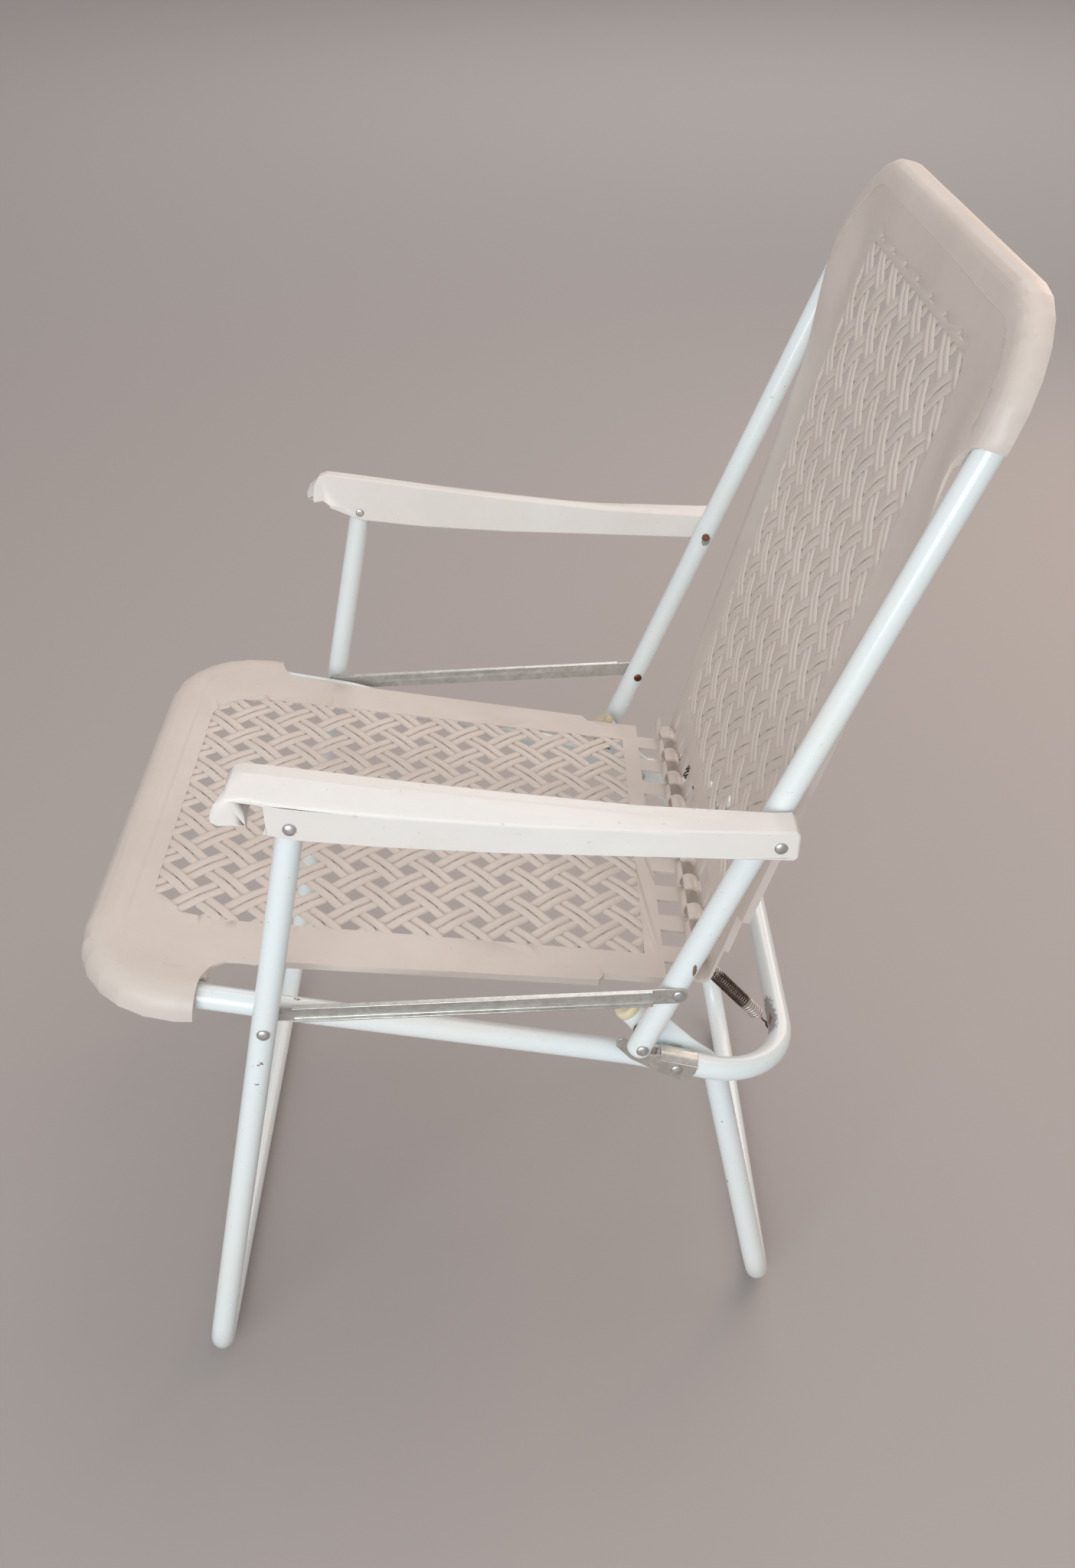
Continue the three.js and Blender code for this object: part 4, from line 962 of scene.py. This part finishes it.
# The border is the field's outline at its pivot end, cutsX and cutsY are where the shell can bend
panels = {
    "seatPanel": {
        "node": "seat_panel", "pivot": "seatFront", "hand": 1, "body": "seat_sheet",
        "finish": "seatPlastic", "pitch": 42.4, "firstGap": 19.6, "behind": 44, "rear": 170,
        "border": [(26, 140), (28.5, 149), (34, 158), (42, 166), (52, 172), (75, 176), (104, 177)],
        "cutsX": [-8, 8, 30, 50, 70, 85, 100, 110, 120, 135, 160, 200, 250, 300, 350, 400],
        "cutsY": [172, 190, 204, 220, 235, 250],
    },
    "backPanel": {
        "node": "back_panel", "pivot": "backTop", "hand": -1, "body": "back_sheet",
        "finish": "backPlastic", "pitch": 44.4, "firstGap": 60, "behind": 50, "rear": 168,
        "border": [(50, 148), (52.5, 154), (58, 158), (66, 160)],
        "cutsX": [11, 15, 20, 26, 46, 52, 60, 68, 78, 88, 98, 108, 120, 135, 150, 170, 190],
        "cutsY": [40, 80, 120, 150, 165, 178, 190, 200, 210, 218, 226, 232],
    },
}

# The seat's pocket is fuller than the tube needs, and its waist is wider than the CAD's
seatSwell = {
    "tubeX": 65, "tubeY": 185, "outward": 0.72, "outwardFade": 0.35, "fadeFrom": 60, "pocketEnd": 100,
    "hang": 6, "hangMost": 1.4, "hangFrom": 2, "hangFull": 9, "wall": 14,
    "waist": 20, "waistFrom": 82, "waistFull": 125, "waistEnd": 415, "marginStart": 177, "marginEdge": 204,
}
# The back's plate rises to its pocket, because the tube leans away from it
backRamp = {
    "tubeX": 70, "tubeY": 180, "lean": 0.1016, "least": 1.2, "wall": 11, "wallTop": 9.5, "above": 0.3,
    "reach": 70, "fadeFrom": 95, "fadeTo": 190, "slotShift": 7, "slotSpread": 0.083,
    "slotNear": (12, 32), "slotFar": (60, 130), "slotSide": (150, 205),
}


# How far a point is inside the tube's line, where along the tube it is, and the way out with its length
def insideTube(x, y, shape):
    half = tubes["backOffset"]
    if x < shape["tubeX"] and y > shape["tubeY"]:
        across = math.hypot(shape["tubeX"] - x, y - shape["tubeY"])
        radius = half - shape["tubeY"]
        tubeX = shape["tubeX"] - radius * (shape["tubeX"] - x) / max(across, 1)
        return radius - across, tubeX, (x - shape["tubeX"], y - shape["tubeY"], across)
    if x < shape["tubeX"]:
        return x, 0, (-1, 0, 1)
    return half - y, x, (0, 1, 1)


def swellSeat(x, y, z):
    shape = seatSwell
    side = 1 if y >= 0 else -1
    y = abs(y)
    inside, _, (wayX, wayY, length) = insideTube(x, y, shape)
    if inside < 0 and x < shape["pocketEnd"]:
        fade = 1 - shape["outwardFade"] * smooth(x, shape["fadeFrom"], shape["pocketEnd"])
        outward = -inside * shape["outward"] * fade
        x += outward * wayX / length
        y += outward * wayY / length
        low = min(max(1 - z / weave["plateTop"], 0), shape["hangMost"])
        z -= shape["hang"] * low * smooth(-inside, shape["hangFrom"], shape["hangFull"])
    elif y > shape["marginStart"] and inside > shape["wall"]:
        rear = (shape["waistEnd"] - x) / (shape["waistEnd"] - shape["waistFull"])
        amount = shape["waist"] * smooth(x, shape["waistFrom"], shape["waistFull"]) * min(max(rear, 0), 1)
        y += amount * min((y - shape["marginStart"]) / (shape["marginEdge"] - shape["marginStart"]), 1)
    return x, y * side, z


def raiseBack(x, y, z):
    shape = backRamp
    side = 1 if y >= 0 else -1
    y = abs(y)
    inside, tubeX, _ = insideTube(x, y, shape)
    onPlate = (z > shape["wallTop"] or x > shape["fadeFrom"]) and z < weave["plateTop"] + shape["above"]
    if inside > shape["wall"] and onPlate:
        rise = max(min(tubeX, shape["fadeFrom"]) * shape["lean"], shape["least"])
        rise *= 1 - smooth(x, shape["fadeFrom"], shape["fadeTo"])
        z += rise * (1 - smooth(inside, shape["wall"], shape["reach"]))
        near = smooth(x, *shape["slotNear"]) * (1 - smooth(x, *shape["slotFar"]))
        near *= 1 - smooth(y, *shape["slotSide"])
        x += shape["slotShift"] * near
        y *= 1 + shape["slotSpread"] * near
    return x, y * side, z


# A panel is shaped lying flat: x from its pivot to the hinge, z out of the sitter's side
def panelPlace(look):
    toHinge = spot("hinge") - spot(look["pivot"])
    rise = weave["hingeRise"] * mm
    angle = math.atan2(toHinge.z, toHinge.x) - look["hand"] * math.asin(rise / toHinge.length)
    down = Vector((math.cos(angle), 0, math.sin(angle)))
    out = Vector((-math.sin(angle), 0, math.cos(angle))) * look["hand"]
    turn = Matrix((down, out.cross(down), out)).transposed().to_4x4()
    length = math.sqrt(toHinge.length_squared - rise * rise) / mm
    return Matrix.Translation(spot(look["pivot"])) @ turn, length


def fieldOutline(look, end):
    half = [*look["border"], (end, look["rear"])]
    return half + [(x, -y) for x, y in reversed(half)]


def fieldCutter(look, end):
    bm = bmesh.new()
    low = weave["cutterFrom"] * mm
    face = bm.faces.new([bm.verts.new((x * mm, y * mm, low)) for x, y in fieldOutline(look, end)])
    lifted = edgesAndVerts(bmesh.ops.extrude_face_region(bm, geom=[face])["geom"])[1]
    bmesh.ops.translate(bm, verts=lifted, vec=(0, 0, weave["cutterHeight"] * mm))
    bmesh.ops.recalc_face_normals(bm, faces=bm.faces)
    return bm


# The stretch of a line that lies inside an outline, as two distances along the line
def insideOutline(base, way, corners):
    low, high = -math.inf, math.inf
    for corner, following in zip(corners, [*corners[1:], corners[0]]):
        side = Vector(following) - Vector(corner)
        inward = Vector((side.y, -side.x)).normalized()
        depth, slope = (base - Vector(corner)).dot(inward), way.dot(inward)
        if abs(slope) > hair:
            cross = -depth / slope
            low, high = (max(low, cross), high) if slope > 0 else (low, min(high, cross))
        elif depth < 0:
            return 0, 0
    return low, high


# Each diamond gap lies between two pairs of strands, which go over and under in turn
def strandCurve(look, end):
    pitch = look["pitch"] / math.sqrt(2)
    middle = weave["plateTop"] - weave["plateThick"] / 2
    curve = bpy.data.curves.new("strandLines", "CURVE")
    curve.dimensions = "3D"
    curve.twist_mode = "Z_UP"
    curve.use_fill_caps = True
    corners = fieldOutline(look, end)
    reach = int((end + look["rear"]) / pitch) + 2
    strands = [(lean, band, side) for lean in (1, -1) for band in range(-reach, reach) for side in (-1, 1)]
    for lean, band, side in strands:
        # a strand runs along (1, lean), at a fixed distance from the first gap's diagonal
        fixed = pitch * (band + 0.5) + side * weave["apart"]
        base = Vector((look["firstGap"] + fixed / math.sqrt(2), -lean * fixed / math.sqrt(2)))
        way = Vector((1, lean)) / math.sqrt(2)
        low, high = insideOutline(base, way, corners)
        if high - low < weave["shortest"]:
            continue
        low, high = low - weave["intoBorder"], high + weave["intoBorder"]
        count = max(weave["fewest"], round((high - low) / pitch * weave["perCrossing"]))
        points, widths = [], []
        for index in range(count + 1):
            run = low + (high - low) * index / count
            nearEnd = min(run - low, high - run)
            calm = min(nearEnd / weave["calmEnd"], 1)
            lift = -lean * weave["lift"] * math.cos(math.pi * (run / pitch - 0.5 + band)) * calm
            point = base + way * run
            points.append((point.x * mm, point.y * mm, (middle + lift) * mm))
            widths.append(weave["endShare"] + (1 - weave["endShare"]) * min(nearEnd / weave["taperEnd"], 1))
        for target, width in zip(addLine(curve, points).points, widths):
            target.radius = width
    return curve


def strandSection():
    curve = bpy.data.curves.new("strandSection", "CURVE")
    curve.dimensions = "2D"
    half = [(x * weave["width"] * mm, y * weave["thick"] * mm) for x, y in weave["sectionShares"]]
    spline = addLine(curve, [(x * side, y * side, 0) for side in (1, -1) for x, y in half])
    spline.use_cyclic_u = True
    return bpy.data.objects.new("strandSection", curve)


def makePanel(name, look, warp):
    place, length = panelPlace(look)
    end = length - look["behind"]
    bm = cadCopy(look["node"], dissolve=False)
    bm.transform(place.inverted())
    for x in look["cutsX"]:
        sliceAt(bm, (x * mm, 0, 0), (1, 0, 0))
    for y in look["cutsY"]:
        for sign in (1, -1):
            sliceAt(bm, (0, sign * y * mm, 0), (0, 1, 0))
    for vert in bm.verts:
        vert.co = Vector(warp(*(vert.co / mm))) * mm
    bmesh.ops.triangulate(bm, faces=bm.faces)
    bm.transform(place)
    shell = meshObject(name + "Shell", bm)
    bm = fieldCutter(look, end)
    bm.transform(place)
    cutter = meshObject(name + "Cutter", bm)
    section = strandSection()
    curve = strandCurve(look, end)
    curve.bevel_mode = "OBJECT"
    curve.bevel_object = section
    strands = bpy.data.objects.new(name + "Strands", curve)
    for thing in (shell, cutter, section, strands):
        bpy.context.scene.collection.objects.link(thing)
    cut = shell.modifiers.new("field", "BOOLEAN")
    cut.operation, cut.solver, cut.object = "DIFFERENCE", "EXACT", cutter
    addBevel(shell, weave["edge"] * mm, angle=weave["edgeAngle"])
    bpy.context.view_layer.update()
    graph = bpy.context.evaluated_depsgraph_get()
    woven = bpy.data.meshes.new_from_object(strands.evaluated_get(graph))
    woven.transform(place)
    bm = bmesh.new()
    bm.from_mesh(woven)
    bmesh.ops.recalc_face_normals(bm, faces=bm.faces)
    bm.from_mesh(bpy.data.meshes.new_from_object(shell.evaluated_get(graph)))
    for thing in (shell, cutter, section, strands):
        bpy.data.objects.remove(thing)
    print(name, "has", len(bm.faces), "faces")
    finishPiece(
        bm, name, look["body"], [look["node"]], look["finish"], weave["sharpAngle"]
    )


makePanel("seatPanel", panels["seatPanel"], swellSeat)
makePanel("backPanel", panels["backPanel"], raiseBack)
print("panels are woven")
